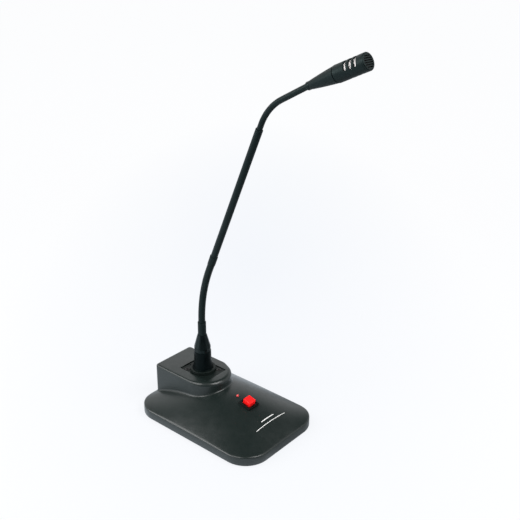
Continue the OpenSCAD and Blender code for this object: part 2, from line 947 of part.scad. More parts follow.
// Capacitors, amplifier chip and wire header on the board
module board_parts() {
    capacitor_d = 6.3;
    capacitor_h = 9;
    capacitor_x = 8;
    capacitor_y = 18;
    chip = [6, 10, 2];
    chip_y = 28;
    header = [12, 5, 4];
    header_inset = 8;
    color([0.15, 0.16, 0.2])
        placed()
            translate([0, 0, board_top]) {
                for (x = [-capacitor_x, capacitor_x])
                    translate([x, board_y + capacitor_y, 0])
                        cylinder(d = capacitor_d, h = capacitor_h);
                translate([0, board_y + chip_y, 0]) centred_box(chip[0], chip[1], chip[2]);
                translate([0, board_rear - header_inset, 0])
                    centred_box(header[0], header[1], header[2]);
            }
}

// Frame of the cable outlet: Z points out of the rear
module outlet_frame() {
    translate([0, base_d - hump_rear_gap, outlet_z]) rotate([-90, 0, 0])
        translate([0, 0, -cover_wall]) children();
}

module cable_outlet() {
    color([0.06, 0.06, 0.06])
        placed()
            outlet_frame()
                difference() {
                    union() {
                        translate([0, 0, -outlet_inner])
                            cylinder(d = outlet_d, h = outlet_inner + cover_wall + eps);
                        translate([0, 0, -outlet_inner])
                            cylinder(d = outlet_lip_d, h = outlet_inner - outlet_groove);
                        translate([0, 0, cover_wall]) cylinder(d = outlet_lip_d, h = outlet_lip_t);
                    }
                    translate([0, 0, -outlet_inner - eps])
                        cylinder(d = outlet_bore_d, h = outlet_inner + cover_wall + outlet_lip_t + over);
                }
}

module plug_shell() {
    color([0.08, 0.10, 0.10])
        placed()
            on_plug()
                rotate_extrude()
                    polygon([
                        [skirt_id / 2, plug_z],
                        [plug_d / 2, plug_z],
                        [plug_d / 2, plug_body_z],
                        [plug_body_d / 2, plug_body_z + plug_step],
                        [plug_top_d / 2, plug_flare_z],
                        [plug_top_d / 2, plug_top],
                        [plug_hollow_d / 2, plug_top],
                        [plug_hollow_d / 2, plug_hollow_z],
                        [skirt_id / 2, plug_hollow_z]
                    ]);
}

module plug_insert() {
    color([0.10, 0.10, 0.10])
        placed()
            difference() {
                on_plug()
                    translate([0, 0, plug_insert_z])
                        cylinder(d = skirt_id - 2 * running, h = plug_insert_h);
                translate([0, 0, plug_insert_z - eps])
                    at_pins() cylinder(d = pin_d + 2 * running, h = plug_insert_h + 2 * eps);
            }
}

module plug_pins() {
    color("silver")
        placed()
            at_pins()
                translate([0, 0, pin_tip]) {
                    translate([0, 0, pin_d / 2]) cylinder(d = pin_d, h = pin_top - pin_tip - pin_d / 2);
                    translate([0, 0, pin_d / 2]) sphere(d = pin_d);
                }
}

// Outside of the boot: a short skirt and a taper with a number of sides
module boot_taper(spread, sides) {
    translate([0, 0, plug_top]) cylinder(d = boot_d * spread, h = boot_skirt, $fn = sides);
    translate([0, 0, plug_top + boot_skirt])
        cylinder(d1 = boot_d * spread, d2 = boot_top_d * spread, h = boot_len - boot_skirt, $fn = sides);
}

module plug_boot() {
    color([0.08, 0.10, 0.10])
        placed()
            on_plug()
                difference() {
                    union() {
                        intersection() {
                            boot_taper(1, $fn);
                            rotate([0, 0, 180 / boot_sides]) boot_taper(boot_spread, boot_sides);
                        }
                        translate([0, 0, plug_top - boot_spigot_len])
                            cylinder(d = boot_spigot_d, h = boot_spigot_len + eps);
                    }
                    translate([0, 0, plug_top - boot_spigot_len - eps])
                        cylinder(d = boot_bore_d, h = boot_spigot_len + boot_len + 2 * eps);
                }
}

// Cup that holds the next ball, at the end of a piece of length len
module cup_cut(len, ball) {
    translate([0, 0, len]) sphere(r = ball + cup_clear);
}

module wire_hole(from, len) {
    translate([0, 0, from - eps]) cylinder(d = wire_d, h = len + 2 * eps, $fn = 24);
}

// Ball with its neck, at the start of a piece
module ball_end(ball, gap, wrap) {
    sphere(r = ball);
    cylinder(r = ball * ball_neck, h = gap + wrap + eps);
}

// One link of the neck, from its ball at joint a to its cup at joint b
module neck_link(a, b, d, ball, gap, wrap) {
    len = chord_len(a, b);
    at_pose(a, chord_tilt(a, b))
        difference() {
            union() {
                ball_end(ball, gap, wrap);
                translate([0, 0, gap + wrap]) cylinder(d = d, h = len - gap);
            }
            cup_cut(len, ball);
            wire_hole(-ball, len + 2 * ball);
        }
}

// Solid start of a flexible section, from pose a to just past joint b
module neck_root(a, b, d, wrap) {
    at_pose(a, a[2]) cylinder(d = d, h = chord_len(a, b) + wrap);
}

// Solid end of a flexible section, from the ball at joint a to pose b
module neck_end(a, b, d, ball, gap, wrap) {
    len = chord_len(a, b);
    at_pose(a, chord_tilt(a, b)) {
        ball_end(ball, gap, wrap);
        translate([0, 0, gap + wrap]) cylinder(d = d, h = len - gap - wrap + root_in);
    }
}

module neck_ferrule() {
    start = neck_pose(0);
    joint = neck_pose(lower_joint_s(0));
    core_len = ferrule_spigot_len + ferrule_len + root_in;
    color([0.09, 0.11, 0.11])
        placed()
            difference() {
                union() {
                    on_plug() {
                        translate([0, 0, boot_top]) cylinder(d = ferrule_d, h = ferrule_len);
                        translate([0, 0, boot_top - ferrule_spigot_len])
                            cylinder(d = ferrule_spigot_d, h = core_len);
                    }
                    neck_root(start, joint, lower_d, lower_wrap);
                }
                at_pose(joint, joint[2]) cup_cut(0, lower_ball);
                on_plug()
                    translate([0, 0, boot_top - ferrule_spigot_len])
                        wire_hole(0, ferrule_spigot_len + ferrule_len + chord_len(start, joint));
            }
}

module lower_link(i) {
    color([0.09, 0.11, 0.11])
        placed()
            neck_link(neck_pose(lower_joint_s(i - 1)), neck_pose(lower_joint_s(i)),
                      lower_d, lower_ball, lower_gap, lower_wrap);
}

module upper_link(i) {
    color([0.09, 0.11, 0.11])
        placed()
            neck_link(neck_pose(upper_joint_s(i - 1)), neck_pose(upper_joint_s(i)),
                      upper_d, upper_ball, upper_gap, upper_wrap);
}

module stem_collar() {
    joint = neck_pose(lower_joint_s(joints_each - 1));
    start = neck_pose(lower_len);
    color([0.09, 0.11, 0.11])
        placed()
            difference() {
                union() {
                    neck_end(joint, start, lower_d, lower_ball, lower_gap, lower_wrap);
                    at_pose(start, start[2]) cylinder(d = collar_d, h = collar_len);
                }
                at_pose(start, start[2])
                    translate([0, 0, collar_len - stem_seat])
                        cylinder(d = stem_d + 2 * running, h = stem_seat + eps);
                at_pose(joint, chord_tilt(joint, start))
                    wire_hole(-lower_ball, lower_ball + chord_len(joint, start) + collar_len);
            }
}

module stem_tube() {
    start = neck_pose(lower_len + collar_len - stem_seat);
    color([0.10, 0.12, 0.12])
        placed()
            at_pose(start, start[2]) ring_tube(stem_d, stem_id, stem_len + stem_seat);
}

module stem_ferrule() {
    end = neck_pose(upper_start);
    joint = neck_pose(upper_joint_s(0));
    color([0.09, 0.11, 0.11])
        placed()
            difference() {
                union() {
                    at_pose(end, end[2])
                        translate([0, 0, -spigot_len])
                            cylinder(d = stem_id - 2 * running, h = spigot_len + root_in);
                    neck_root(end, joint, upper_d, upper_wrap);
                }
                at_pose(joint, joint[2]) cup_cut(0, upper_ball);
                at_pose(end, end[2]) wire_hole(-spigot_len, spigot_len + chord_len(end, joint));
            }
}

module head_collar() {
    joint = neck_pose(upper_joint_s(joints_each - 1));
    color([0.09, 0.11, 0.11])
        placed()
            difference() {
                union() {
                    neck_end(joint, head_pose, upper_d, upper_ball, upper_gap, upper_wrap);
                    at_head() {
                        cylinder(d = head_collar_d, h = head_collar_len);
                        cylinder(d = stem_id - 2 * running, h = head_collar_len + spigot_len);
                    }
                }
                at_pose(joint, chord_tilt(joint, head_pose))
                    wire_hole(-upper_ball, upper_ball + chord_len(joint, head_pose) + root_in);
                at_head() cylinder(d = head_bore_d, h = head_collar_len + spigot_len + over);
            }
}

// Outer radius of the rear housing along its length, slightly bellied
function housing_r(t) =
    let (r0 = head_collar_d / 2 + fit, r1 = head_d / 2 - seam_step)
        r0 + (r1 - r0) * ((1 + housing_belly) * t - housing_belly * t * t);

module head_housing() {
    steps = 8;
    back = head_collar_len;
    hollow = back + spigot_len + housing_wall;
    mouth_r = head_id / 2 - fit - spigot_wall;
    throat_r = stem_id / 2;
    color([0.10, 0.12, 0.12])
        placed()
            at_head()
                rotate_extrude()
                    polygon(concat(
                        [[throat_r, back]],
                        [for (k = [0 : steps]) [housing_r(k / steps), back + (seam_at - back) * k / steps]],
                        [[head_id / 2 - fit, seam_at],
                         [head_id / 2 - fit, seam_at + housing_spigot_len],
                         [mouth_r, seam_at + housing_spigot_len],
                         [mouth_r, seam_at - housing_wall],
                         [throat_r, hollow]]));
}

module head_barrel() {
    first = seam_at + slot_from_seam;
    color([0.10, 0.12, 0.12])
        placed()
            at_head()
                difference() {
                    translate([0, 0, seam_at + seam_gap])
                        ring_tube(head_d, head_id, head_barrel_len - seam_gap);
                    for (k = [0 : slot_count - 1], side = [0, 180])
                        translate([0, 0, first + k * slot_pitch - slot_w / 2])
                            rotate(slot_turn + side - slot_span / 2)
                                rotate_extrude(angle = slot_span)
                                    translate([head_id / 2 - over, 0]) square([head_wall + 2 * over, slot_w]);
                }
}

module mesh_screen() {
    from = seam_at + housing_spigot_len + fit;
    to = seam_at + head_barrel_len - grille_spigot - fit;
    color([0.80, 0.80, 0.80])
        placed()
            at_head()
                translate([0, 0, from]) ring_tube(mesh_d, mesh_d - 2 * mesh_t, to - from);
}

module front_grille() {
    back = seam_at + head_barrel_len;
    r = head_d / 2;
    color([0.10, 0.12, 0.12])
        placed()
            at_head()
                translate([0, 0, back])
                    difference() {
                        union() {
                            translate([0, 0, -grille_spigot])
                                cylinder(d = mesh_d, h = grille_spigot + eps);
                            cylinder(r = r, h = grille_t - grille_round);
                            cylinder(r = r - grille_round, h = grille_t);
                            translate([0, 0, grille_t - grille_round])
                                rotate_extrude()
                                    translate([r - grille_round, 0]) circle(grille_round);
                        }
                        rotate(slit_turn)
                            for (k = [0 : grille_slits - 1])
                                let (x = (k - (grille_slits - 1) / 2) * slit_pitch,
                                     half = sqrt(pow(r - 2 * grille_round, 2) - x * x))
                                    translate([x, 0, -grille_spigot - eps])
                                        centred_box(slit_w, 2 * half, grille_spigot + grille_t + over);
                    }
}

module capsule() {
    color("silver")
        placed()
            at_head()
                translate([0, 0, seam_at + holder_from_seam + holder_len - capsule_len])
                    cylinder(d = capsule_d, h = capsule_len);
}

module capsule_holder() {
    outer = mesh_d - 2 * mesh_t - 2 * fit;
    inner = capsule_d + 2 * running;
    color([0.05, 0.05, 0.05])
        placed()
            at_head()
                translate([0, 0, seam_at + holder_from_seam])
                    difference() {
                        cylinder(d = outer, h = holder_len);
                        translate([0, 0, holder_len - capsule_len])
                            cylinder(d = inner, h = capsule_len + eps);
                        wire_hole(0, holder_len);
                    }
}

top_cover();
bottom_plate();
ballast_bars();
rubber_feet();
cover_screws();
socket_housing();
socket_insert();
socket_contacts();
socket_screws();
release_latch();
latch_spring();
switch_bezel();
switch_body();
switch_terminals();
button_cap();
button_plunger();
button_spring();
lamp();
lamp_leads();
circuit_board();
board_posts();
board_screws();
board_parts();
cable_outlet();
plug_shell();
plug_insert();
plug_pins();
plug_boot();
neck_ferrule();
for (i = [1 : links_each])
    lower_link(i);
stem_collar();
stem_tube();
stem_ferrule();
for (i = [1 : links_each])
    upper_link(i);
head_collar();
head_housing();
head_barrel();
mesh_screen();
front_grille();
capsule();
capsule_holder();
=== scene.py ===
"""Desk microphone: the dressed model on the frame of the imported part.

Sizes are in millimetres in the base's own frame: x to the user's right, y to
the rear from the front edge of the cover, z up from the cover's lower edge.
"""
import math

import bmesh
import bpy
import numpy as np
from mathutils import Matrix, Vector
from mathutils.geometry import delaunay_2d_cdt

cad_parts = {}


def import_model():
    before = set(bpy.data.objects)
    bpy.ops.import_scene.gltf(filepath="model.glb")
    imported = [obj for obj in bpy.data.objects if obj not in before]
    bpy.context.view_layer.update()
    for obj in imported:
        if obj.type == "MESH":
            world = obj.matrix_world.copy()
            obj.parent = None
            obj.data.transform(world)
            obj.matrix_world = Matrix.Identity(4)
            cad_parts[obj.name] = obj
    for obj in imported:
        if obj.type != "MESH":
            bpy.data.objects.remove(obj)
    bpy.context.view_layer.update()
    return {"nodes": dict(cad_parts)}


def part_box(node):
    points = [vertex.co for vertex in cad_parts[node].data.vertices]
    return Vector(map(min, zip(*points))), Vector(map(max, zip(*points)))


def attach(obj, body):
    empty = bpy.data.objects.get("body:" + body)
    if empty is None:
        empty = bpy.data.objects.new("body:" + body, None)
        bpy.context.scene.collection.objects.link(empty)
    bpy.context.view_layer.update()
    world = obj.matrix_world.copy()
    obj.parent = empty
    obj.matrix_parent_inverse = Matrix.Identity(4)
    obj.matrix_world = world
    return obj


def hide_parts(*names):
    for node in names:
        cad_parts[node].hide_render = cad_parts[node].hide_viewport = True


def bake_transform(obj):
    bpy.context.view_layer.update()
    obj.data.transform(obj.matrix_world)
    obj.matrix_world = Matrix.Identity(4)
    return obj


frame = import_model()

MM = 0.001
ORIGIN_Y = -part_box("top_cover")[0][1] / MM
FOOT_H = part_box("top_cover")[0][2] / MM
# Radius at which a turned skin closes on its axis, least radius of a corner, size of a broken edge
AXIS_R, LEAST_R, BREAK = 0.01, 0.05, 0.1
# Roundings of turned pieces
SOFT, CRISP, FINE = 0.3, 0.25, 0.2

# Base
BASE_W, BASE_D, CORNER_R = 100.0, 144.0, 23.5
RIM_H, CROWN_H, CROWN_PEAK, EDGE = 7.8, 21.5, 78.5, 1.6
COVER_WALL, WALL_SHOWN, LOWER_EDGE = 2.4, 6.0, 0.35
SIDE_CUT, SHEET_STEP, PROBE = 3.0, 2.0, 0.5
MID_Y = BASE_D / 2
FEET_X, FEET_Y, FOOT_R, FOOT_TAPER, FOOT_EDGE = (-36, 36), (24, 120), 6.0, 0.2, 0.35
# Printed rules: distance from the front, left end, right end and thickness
RULES = ((19.0, -17.5, 21.5, 0.55), (22.8, -6.5, 10.0, 0.8))
PRINT_T, PRINT_SUNK = 0.03, 0.05
# Hump and socket
HUMP_R, HUMP_REAR, HUMP_NOSE, HUMP_LAP = 23.2, 141.4, 72.5, 2.0
HUMP_TOP, HUMP_CROWN, HUMP_CORNER, REAR_MARGIN = 38.9, 0.6, 3.0, 5.0
HUMP_ROUND, SIDE_ROUND, NOSE_BLEND = 4.0, 2.0, 8.0
HUMP_FILLET, HUMP_LEDGE, HUMP_SUNK = 1.7, 0.9, 3.0
HUMP_MID = (HUMP_NOSE + HUMP_REAR) / 2
PLUG_Y = 100.5
FLANGE_W, FLANGE_L, FLANGE_R, FLANGE_EDGE, FLANGE_RIM = 25.2, 34.2, 0.8, 0.35, 3.0
FLANGE_TOP, FLANGE_T = 38.6, 2.0
POCKET_GAP, POCKET_LIP, POCKET_SHELF, POCKET_PLAY = 0.3, 0.15, 0.65, 0.02
RING_R, RING_TOP, RING_EDGE = 12.0, 41.8, 0.45
SOCKET_R, SOCKET_Z, SOCKET_EDGE = 11.8, 16.6, 0.5
BORE_R, SOCKET_FLOOR = 9.65, 24.6
SCREW_X, SCREW_Y, SCREW_R, SCREW_RISE = 9.3, 11.6, 2.5, 0.4
SCREW_HOLE_R, SCREW_HOLE_DEEP, SHANK_R, SHANK_LEN = 2.85, 1.4, 1.25, 6.0
CROSS, CROSS_ARM, CROSS_DEEP, SCREW_TURNS = 0.75, 1.55, 0.7, (-15, 55)
LATCH_W, LATCH_T, LATCH_Y, LATCH_PROUD, LATCH_LEN = 5.0, 2.2, 113.05, 1.1, 11.0
LATCH_R, LATCH_EDGE, LATCH_GAP, LATCH_SLOT_R, LATCH_SLOT_DEEP = 0.45, 0.4, 0.2, 0.3, 1.6
SHOULDER_OUT, SHOULDER_LEN, SHOULDER_PLAY = 0.6, 3.0, 0.05
LATCH_MID = LATCH_Y + LATCH_T / 2
GRIP_RIBS, GRIP_W, GRIP_R, GRIP_SHORT = (-1.2, 0, 1.2), 0.4, 0.19, 0.9
# Button and lamp
BUTTON_Y, CAP_SIDE, CAP_H, CAP_DEEP = 43.5, 8.4, 5.7, 2.5
CAP_EDGE, CAP_DRAFT, CAP_R, CAP_FOOT = 0.5, 0.15, 0.8, 0.3
# Dish of the cap: distance from the edge and depth
CAP_DISH = ((1.6, 0.03), (2.6, 0.06))
BEZEL_SIDE, BEZEL_H, BEZEL_DEEP, BEZEL_OPEN = 13.4, 1.9, 6.0, 8.8
BEZEL_R, BEZEL_HOLE_R, BEZEL_WALL, BEZEL_SEAT = 0.6, 0.9, 1.0, 0.7
SWITCH_HOLE, SWITCH_HOLE_R = 11.0, 0.8
LAMP_Y, LAMP_R, LAMP_PROUD, LAMP_DEEP, LAMP_HOLE_R = 57.0, 1.05, 0.3, 3.8, 1.092
LAMP_FLANGE, LAMP_FLANGE_T = 0.45, 0.8
OUTLET_Z, OUTLET_R, OUTLET_NECK_R, OUTLET_BORE_R = 17.0, 6.5, 4.8, 2.6
OUTLET_IN, OUTLET_OUT, OUTLET_PLAY, OUTLET_EDGE = 6.0, 4.2, 0.3, 0.6
# Plug
PLUG_Z, PLUG_BODY_Z, PLUG_FLARE_Z, PLUG_TOP = 24.65, 42.1, 50.4, 59.6
PLUG_R, PLUG_WAIST_R, SKIRT_R, HOLLOW_R, HOLLOW_Z = 9.5, 8.1, 8.2, 6.0, 44.5
PLUG_STEP, PLUG_TAPER, PLUG_PLAY, PLUG_RIM_EDGE = 0.2, 0.12, 0.03, 0.12
BOOT_R, BOOT_SKIRT, BOOT_TOP, BOOT_TOP_R, BOOT_SIDES = 7.9, 3.8, 76.0, 4.45, 8
BOOT_FLAT, BOOT_STEP, BOOT_BEVEL, BOOT_SPIGOT_R, SPIGOT_IN = 1.05, 0.12, 0.4, 5.9, 5.0
FERRULE_TOP, FERRULE_R, FERRULE_TAPER, FERRULE_SEAT = 89.0, 3.9, 0.05, 0.2
FERRULE_GROOVE, FERRULE_GROOVE_DEEP, FERRULE_GROOVE_HALF = 1.3, 0.25, 0.15
FERRULE_SPIGOT_R, FERRULE_SPIGOT_END_R = 1.95, 1.9
# Neck: lengths along its axis, with bends and turns in degrees
LOWER_LEAD, LOWER_ARC, LOWER_BEND, LOWER_TAIL = 1.0, 55.6, 22.9, 6.4
UPPER_LEAD, UPPER_ARC, UPPER_BEND, UPPER_TAIL = 4.6, 29.7, 38.7, 27.0
KINK_LEN, HEAD_TURN = 0.5, 3.8
LOWER_R, UPPER_R, WIRE_HOLE_R = 3.2, 2.4, 0.7
COLLAR_LEN, COLLAR_R, COLLAR_TAPER = 9.5, 3.55, 0.05
STEM_LEN, STEM_R, STEM_BORE_R, STEM_SEAT = 130.0, 3.1, 2.4, 5.0
TUBE_END_R, TUBE_END_IN, TUBE_END_OUT = 2.35, 4.0, 0.3
JOINTS, BLEND_MARGIN = 7, 0.08
LOWER_LEN = LOWER_LEAD + LOWER_ARC + LOWER_TAIL
UPPER_LEN = UPPER_LEAD + UPPER_ARC + UPPER_TAIL
UPPER_START = LOWER_LEN + COLLAR_LEN + STEM_LEN
HEAD_START = UPPER_START + UPPER_LEN
# Head
HEAD_R, HEAD_WALL, SEAM, BARREL_LEN, GRILLE_T = 6.55, 0.85, 27.5, 25.5, 1.7
HEAD_COLLAR_LEN, HEAD_COLLAR_R, HEAD_COLLAR_LAP = 3.0, 3.2, 0.3
HEAD_COLLAR_EDGE, HEAD_COLLAR_BEVEL, HEAD_SPIGOT_R, HEAD_SPIGOT_LEN = 0.3, 0.5, 2.3, 8.0
HOUSING_BORE_R, HOUSING_STEP, HOUSING_BACK_EDGE, HOUSING_EDGE = 2.4, 0.1, 0.25, 0.2
BELLY, SEAM_STEP, GROOVE, GROOVE_R, LAP_LEN, LAP_BORE_R = 0.2, 0.25, 0.35, 5.6, 4.0, 4.7
SLOT_COUNT, SLOT_FIRST, SLOT_PITCH, SLOT_W, SLOT_R = 3, 11.0, 4.4, 2.2, 0.75
SLOT_SPAN, SLOT_TURN = 103.0, 134.0
MESH_R, MESH_WIRE_R, MESH_WIRES, MESH_LEAN, MESH_FROM, MESH_SHORT = 5.35, 0.05, 60, 0.7, 4.2, 1.6
CAPSULE_R, CAPSULE_RIM_R, CAPSULE_Z, CAPSULE_LEN, CAPSULE_RIM = 4.85, 3.9, 11.0, 6.0, 0.3
GRILLE_EDGE, GRILLE_BEVEL, GRILLE_PLAY, GRILLE_SPIGOT_R, GRILLE_SPIGOT = 0.7, 0.12, 0.02, 5.6, 1.4
SLIT_TURN, SLITS, SLIT_PITCH, SLIT_W, SLIT_R, SLIT_DEEP = 90.0, 6, 1.55, 0.8, 0.35, 1.2
FOAM_R, FOAM_LOW, FOAM_HIGH = 5.5, 0.2, 0.45
NECK_PATH = [
    (LOWER_LEAD, 0), (LOWER_ARC, LOWER_BEND), (LOWER_TAIL + COLLAR_LEN + STEM_LEN + UPPER_LEAD, 0),
    (UPPER_ARC, UPPER_BEND), (UPPER_TAIL - KINK_LEN, 0), (KINK_LEN, HEAD_TURN),
    (SEAM + BARREL_LEN + GRILLE_T, 0),
]
# Stage: sides of the floor, and how far off and at what point the lights are aimed, in metres
FLOOR, LIGHT_AWAY, LIGHT_AIM = 18.0, 2.0, (0, 0, 0.05)
# Camera: focal length and picture width in pixels, yaw, pitch and roll in degrees
FOCAL_PX, PICTURE_PX, SENSOR = 775.10, 520, 36.0
CAMERA_TURNS, CAMERA_AT = (-49.788, 23.175, 0.398), (-447.005, -346.650, 420.559)


# Frames

def to_row(p):
    """A point of the base's frame in the frame of the row, in metres."""
    return Vector((p[0], p[1] - ORIGIN_Y, p[2] + FOOT_H)) * MM


def from_row(p):
    """The same, the other way round."""
    return p / MM + Vector((0, ORIGIN_Y, -FOOT_H))


def dome(x, y):
    """Height of the crowned top."""
    run = CROWN_PEAK if y < CROWN_PEAK else BASE_D - CROWN_PEAK
    return RIM_H + CROWN_H * (1 - (2 * x / BASE_W) ** 2) * (1 - ((y - CROWN_PEAK) / run) ** 2)


def on_dome(y):
    """Frame on the crown's centre line, with z along the surface normal."""
    slope = math.atan(2 * CROWN_H * (CROWN_PEAK - y) / CROWN_PEAK ** 2)
    return Matrix.Translation((0, y, dome(0, y))) @ Matrix.Rotation(slope, 4, "X")


def on_neck(s):
    """Frame on the neck's axis at a distance s from the ferrule, with z along it."""
    y, z, tilt = PLUG_Y, FERRULE_TOP, 0.0
    for i, (length, turn) in enumerate(NECK_PATH):
        step = s if i == len(NECK_PATH) - 1 else min(s, length)
        if turn:
            r = length / math.radians(turn)
            end = tilt + math.radians(turn) * step / length
            y -= r * (math.cos(tilt) - math.cos(end))
            z += r * (math.sin(end) - math.sin(tilt))
            tilt = end
        else:
            y -= step * math.sin(tilt)
            z += step * math.cos(tilt)
        s -= step
        if s <= 0:
            break
    return Matrix.Translation((0, y, z)) @ Matrix.Rotation(tilt, 4, "X")


def on_head():
    return on_neck(HEAD_START)


def on_plug():
    return Matrix.Translation((0, PLUG_Y, 0))


# Shapes

class Shape:
    """Points and faces that become one mesh."""

    def __init__(self, where=None):
        self.points, self.faces, self.where = [], [], where or Matrix.Identity(4)

    def add(self, points, faces):
        first = len(self.points)
        self.points += [self.where @ Vector(p) for p in points]
        self.faces += [[first + i for i in f] for f in faces]

    def loft(self, rings, start=False, end=False):
        """Skin over rings of equally many points; start and end close it."""
        n = len(rings[0])
        faces = [[j * n + i, j * n + (i + 1) % n, (j + 1) * n + (i + 1) % n, (j + 1) * n + i]
                 for j in range(len(rings) - 1) for i in range(n)]
        if start:
            faces.append(list(range(n))[::-1])
        if end:
            faces.append([(len(rings) - 1) * n + i for i in range(n)])
        self.add([p for ring in rings for p in ring], faces)

    def lathe(self, profile, steps=64, start=False, end=False):
        """Skin turned about z from (radius, height) pairs."""
        self.loft([at(circle(r, steps), h) for r, h in profile], start, end)

    def sheet(self, loops, spacing, lift):
        """Triangles inside the first loop and outside the others, lifted from the plane."""
        points, edges = [], []
        for loop in loops:
            first, n = len(points), len(loop)
            points += [tuple(p[:2]) for p in loop]
            edges += [(first + i, first + (i + 1) % n) for i in range(n)]

        def open_field(spots):
            hits = [inside(spots, loop) for loop in loops]
            return hits[0] & ~np.any(hits[1:], axis=0)

        rim = np.array([np.array(points[a]) * (1 - t) + np.array(points[b]) * t
                        for a, b in edges for t in (0.0, 0.25, 0.5, 0.75)])
        low, high = rim.min(0), rim.max(0)
        row, clear = spacing * 0.866, spacing * 0.6
        grid = np.array([(x, y) for j, y in enumerate(np.arange(low[1], high[1], row))
                         for x in np.arange(low[0] + spacing * 0.5 * (j % 2), high[0], spacing)])
        points += [tuple(p) for p in grid[open_field(grid)]
                   if np.min(np.sum((rim - p) ** 2, 1)) > clear ** 2]
        flat, _, faces, _, _, _ = delaunay_2d_cdt([Vector(p) for p in points], edges, [], 2, 1e-6)
        middles = np.array([np.mean([flat[i] for i in face], axis=0) for face in faces])
        kept = [face for face, is_open in zip(faces, open_field(middles)) if is_open]
        self.add([lift(p[0], p[1]) for p in flat], kept)


def inside(spots, loop):
    """Even-odd test of points against a closed outline."""
    ends = np.array([p[:2] for p in loop])
    (ax, ay), (bx, by) = ends.T, np.roll(ends, -1, 0).T
    x, y = spots[:, :1], spots[:, 1:]
    run = np.where(by == ay, 1.0, by - ay)
    hits = ((ay > y) != (by > y)) & (x < ax + (bx - ax) * (y - ay) / run)
    return hits.sum(1) % 2 == 1


def arc(start, end, steps):
    """Angles in radians from start to end in degrees."""
    return [math.radians(start + (end - start) * k / steps) for k in range(steps + 1)]


def circle(r, steps, x=0.0, y=0.0):
    return [(x + r * math.cos(a), y + r * math.sin(a)) for a in arc(0, 360, steps)[:-1]]


def at(outline, z):
    return [(x, y, z) for x, y in outline]


def rounded(profile, radius, steps=5):
    """A profile with its inner corners rounded."""
    out = [profile[0]]
    for a, b, c in zip(profile, profile[1:], profile[2:]):
        a, b, c = Vector(a), Vector(b), Vector(c)
        r = min(radius, (a - b).length * 0.45, (c - b).length * 0.45)
        p, q = b + (a - b).normalized() * r, b + (c - b).normalized() * r
        out += [tuple(p * (1 - t) ** 2 + b * 2 * t * (1 - t) + q * t * t)
                for t in (k / steps for k in range(steps + 1))]
    return out + [profile[-1]]


def rounded_rect(w, d, r, cx=0.0, cy=0.0, corner=8, cuts=(1, 1)):
    """Counter-clockwise outline; cuts divides the straight sides along x and y."""
    signs = ((1, -1), (1, 1), (-1, 1), (-1, -1))
    centres = [(cx + sx * (w / 2 - r), cy + sy * (d / 2 - r)) for sx, sy in signs]
    out = []
    for k, (ox, oy) in enumerate(centres):
        turn = arc(90 * k - 90, 90 * k, corner)
        out += [(ox + r * math.cos(a), oy + r * math.sin(a)) for a in turn]
        (px, py), (nx, ny) = out[-1], centres[(k + 1) % 4]
        dx, dy = nx + r * math.cos(turn[-1]) - px, ny + r * math.sin(turn[-1]) - py
        count = cuts[1 - k % 2]
        out += [(px + dx * i / count, py + dy * i / count) for i in range(1, count)]
    return out


def divided(corners, counts):
    """Closed outline through the corners, each side cut into so many equal lengths."""
    ends = corners[1:] + corners[:1]
    return [(ax + (bx - ax) * k / n, ay + (by - ay) * k / n)
            for (ax, ay), (bx, by), n in zip(corners, ends, counts) for k in range(n)]


def make(name, shape, material, body=None, stands_for=(), sharp=35):
    """Turns a shape into an object that rides on a body."""
    mesh = bpy.data.meshes.new(name)
    mesh.from_pydata([to_row(p) for p in shape.points], [], shape.faces)
    bm = bmesh.new()
    bm.from_mesh(mesh)
    bmesh.ops.remove_doubles(bm, verts=bm.verts, dist=2e-6)
    bmesh.ops.recalc_face_normals(bm, faces=bm.faces)
    bm.to_mesh(mesh)
    bm.free()
    mesh.shade_smooth()
    mesh.set_sharp_from_angle(angle=math.radians(sharp))
    mesh.materials.append(material)
    obj = bpy.data.objects.new(name, mesh)
    bpy.context.scene.collection.objects.link(obj)
    if body:
        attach(obj, body)
    if stands_for:
        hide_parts(*stands_for)
    return obj


# Materials

class Nodes:
    """Short hand for the nodes of a material or a world."""

    def __init__(self, owner, shader="Principled BSDF"):
        owner.use_nodes = True
        self.tree = owner.node_tree
        self.shader = self.tree.nodes[shader]

    def add(self, kind, **values):
        node = self.tree.nodes.new(kind)
        for key, value in values.items():
            if key in node.inputs:
                node.inputs[key].default_value = value
            else:
                setattr(node, key, value)
        return node

    def link(self, a, b):
        self.tree.links.new(a, b)

    def shade(self, **levels):
        """Sets the shader's sockets; an underscore in a key stands for a space."""
        for key, level in levels.items():
            self.shader.inputs[key.replace("_", " ")].default_value = level

    def mix(self, share, first, second):
        """A colour between two, each given as a colour or a socket."""
        node = self.add("ShaderNodeMix", data_type="RGBA")
        self.link(share, node.inputs[0])
        for socket, color in ((node.inputs[6], first), (node.inputs[7], second)):
            if isinstance(color, tuple):
                socket.default_value = color
            else:
                self.link(color, socket)
        return node.outputs[2]

    def combine(self, operation, a, b):
        """A value worked out from two others."""
        node = self.add("ShaderNodeMath", operation=operation)
        self.link(a, node.inputs[0])
        self.link(b, node.inputs[1])
        return node.outputs[0]

    def along(self, place, direction):
        """How far a place lies in a direction."""
        node = self.add("ShaderNodeVectorMath", operation="DOT_PRODUCT")
        node.inputs[1].default_value = direction
        self.link(place, node.inputs[0])
        return node.outputs["Value"]

    def remap(self, value, source, result, kind="LINEAR"):
        """A value carried from one range to another."""
        node = self.add("ShaderNodeMapRange", interpolation_type=kind)
        for key, level in zip(("From Min", "From Max", "To Min", "To Max"), (*source, *result)):
            node.inputs[key].default_value = level
        self.link(value, node.inputs["Value"])
        return node.outputs["Result"]


PLAIN, COOL = (1.0, 1.0, 1.0, 1.0), (0.72, 1.0, 1.0, 1.0)
JET, BLACK = (0.0010, 0.0022, 0.0026), (0.003, 0.006, 0.006)


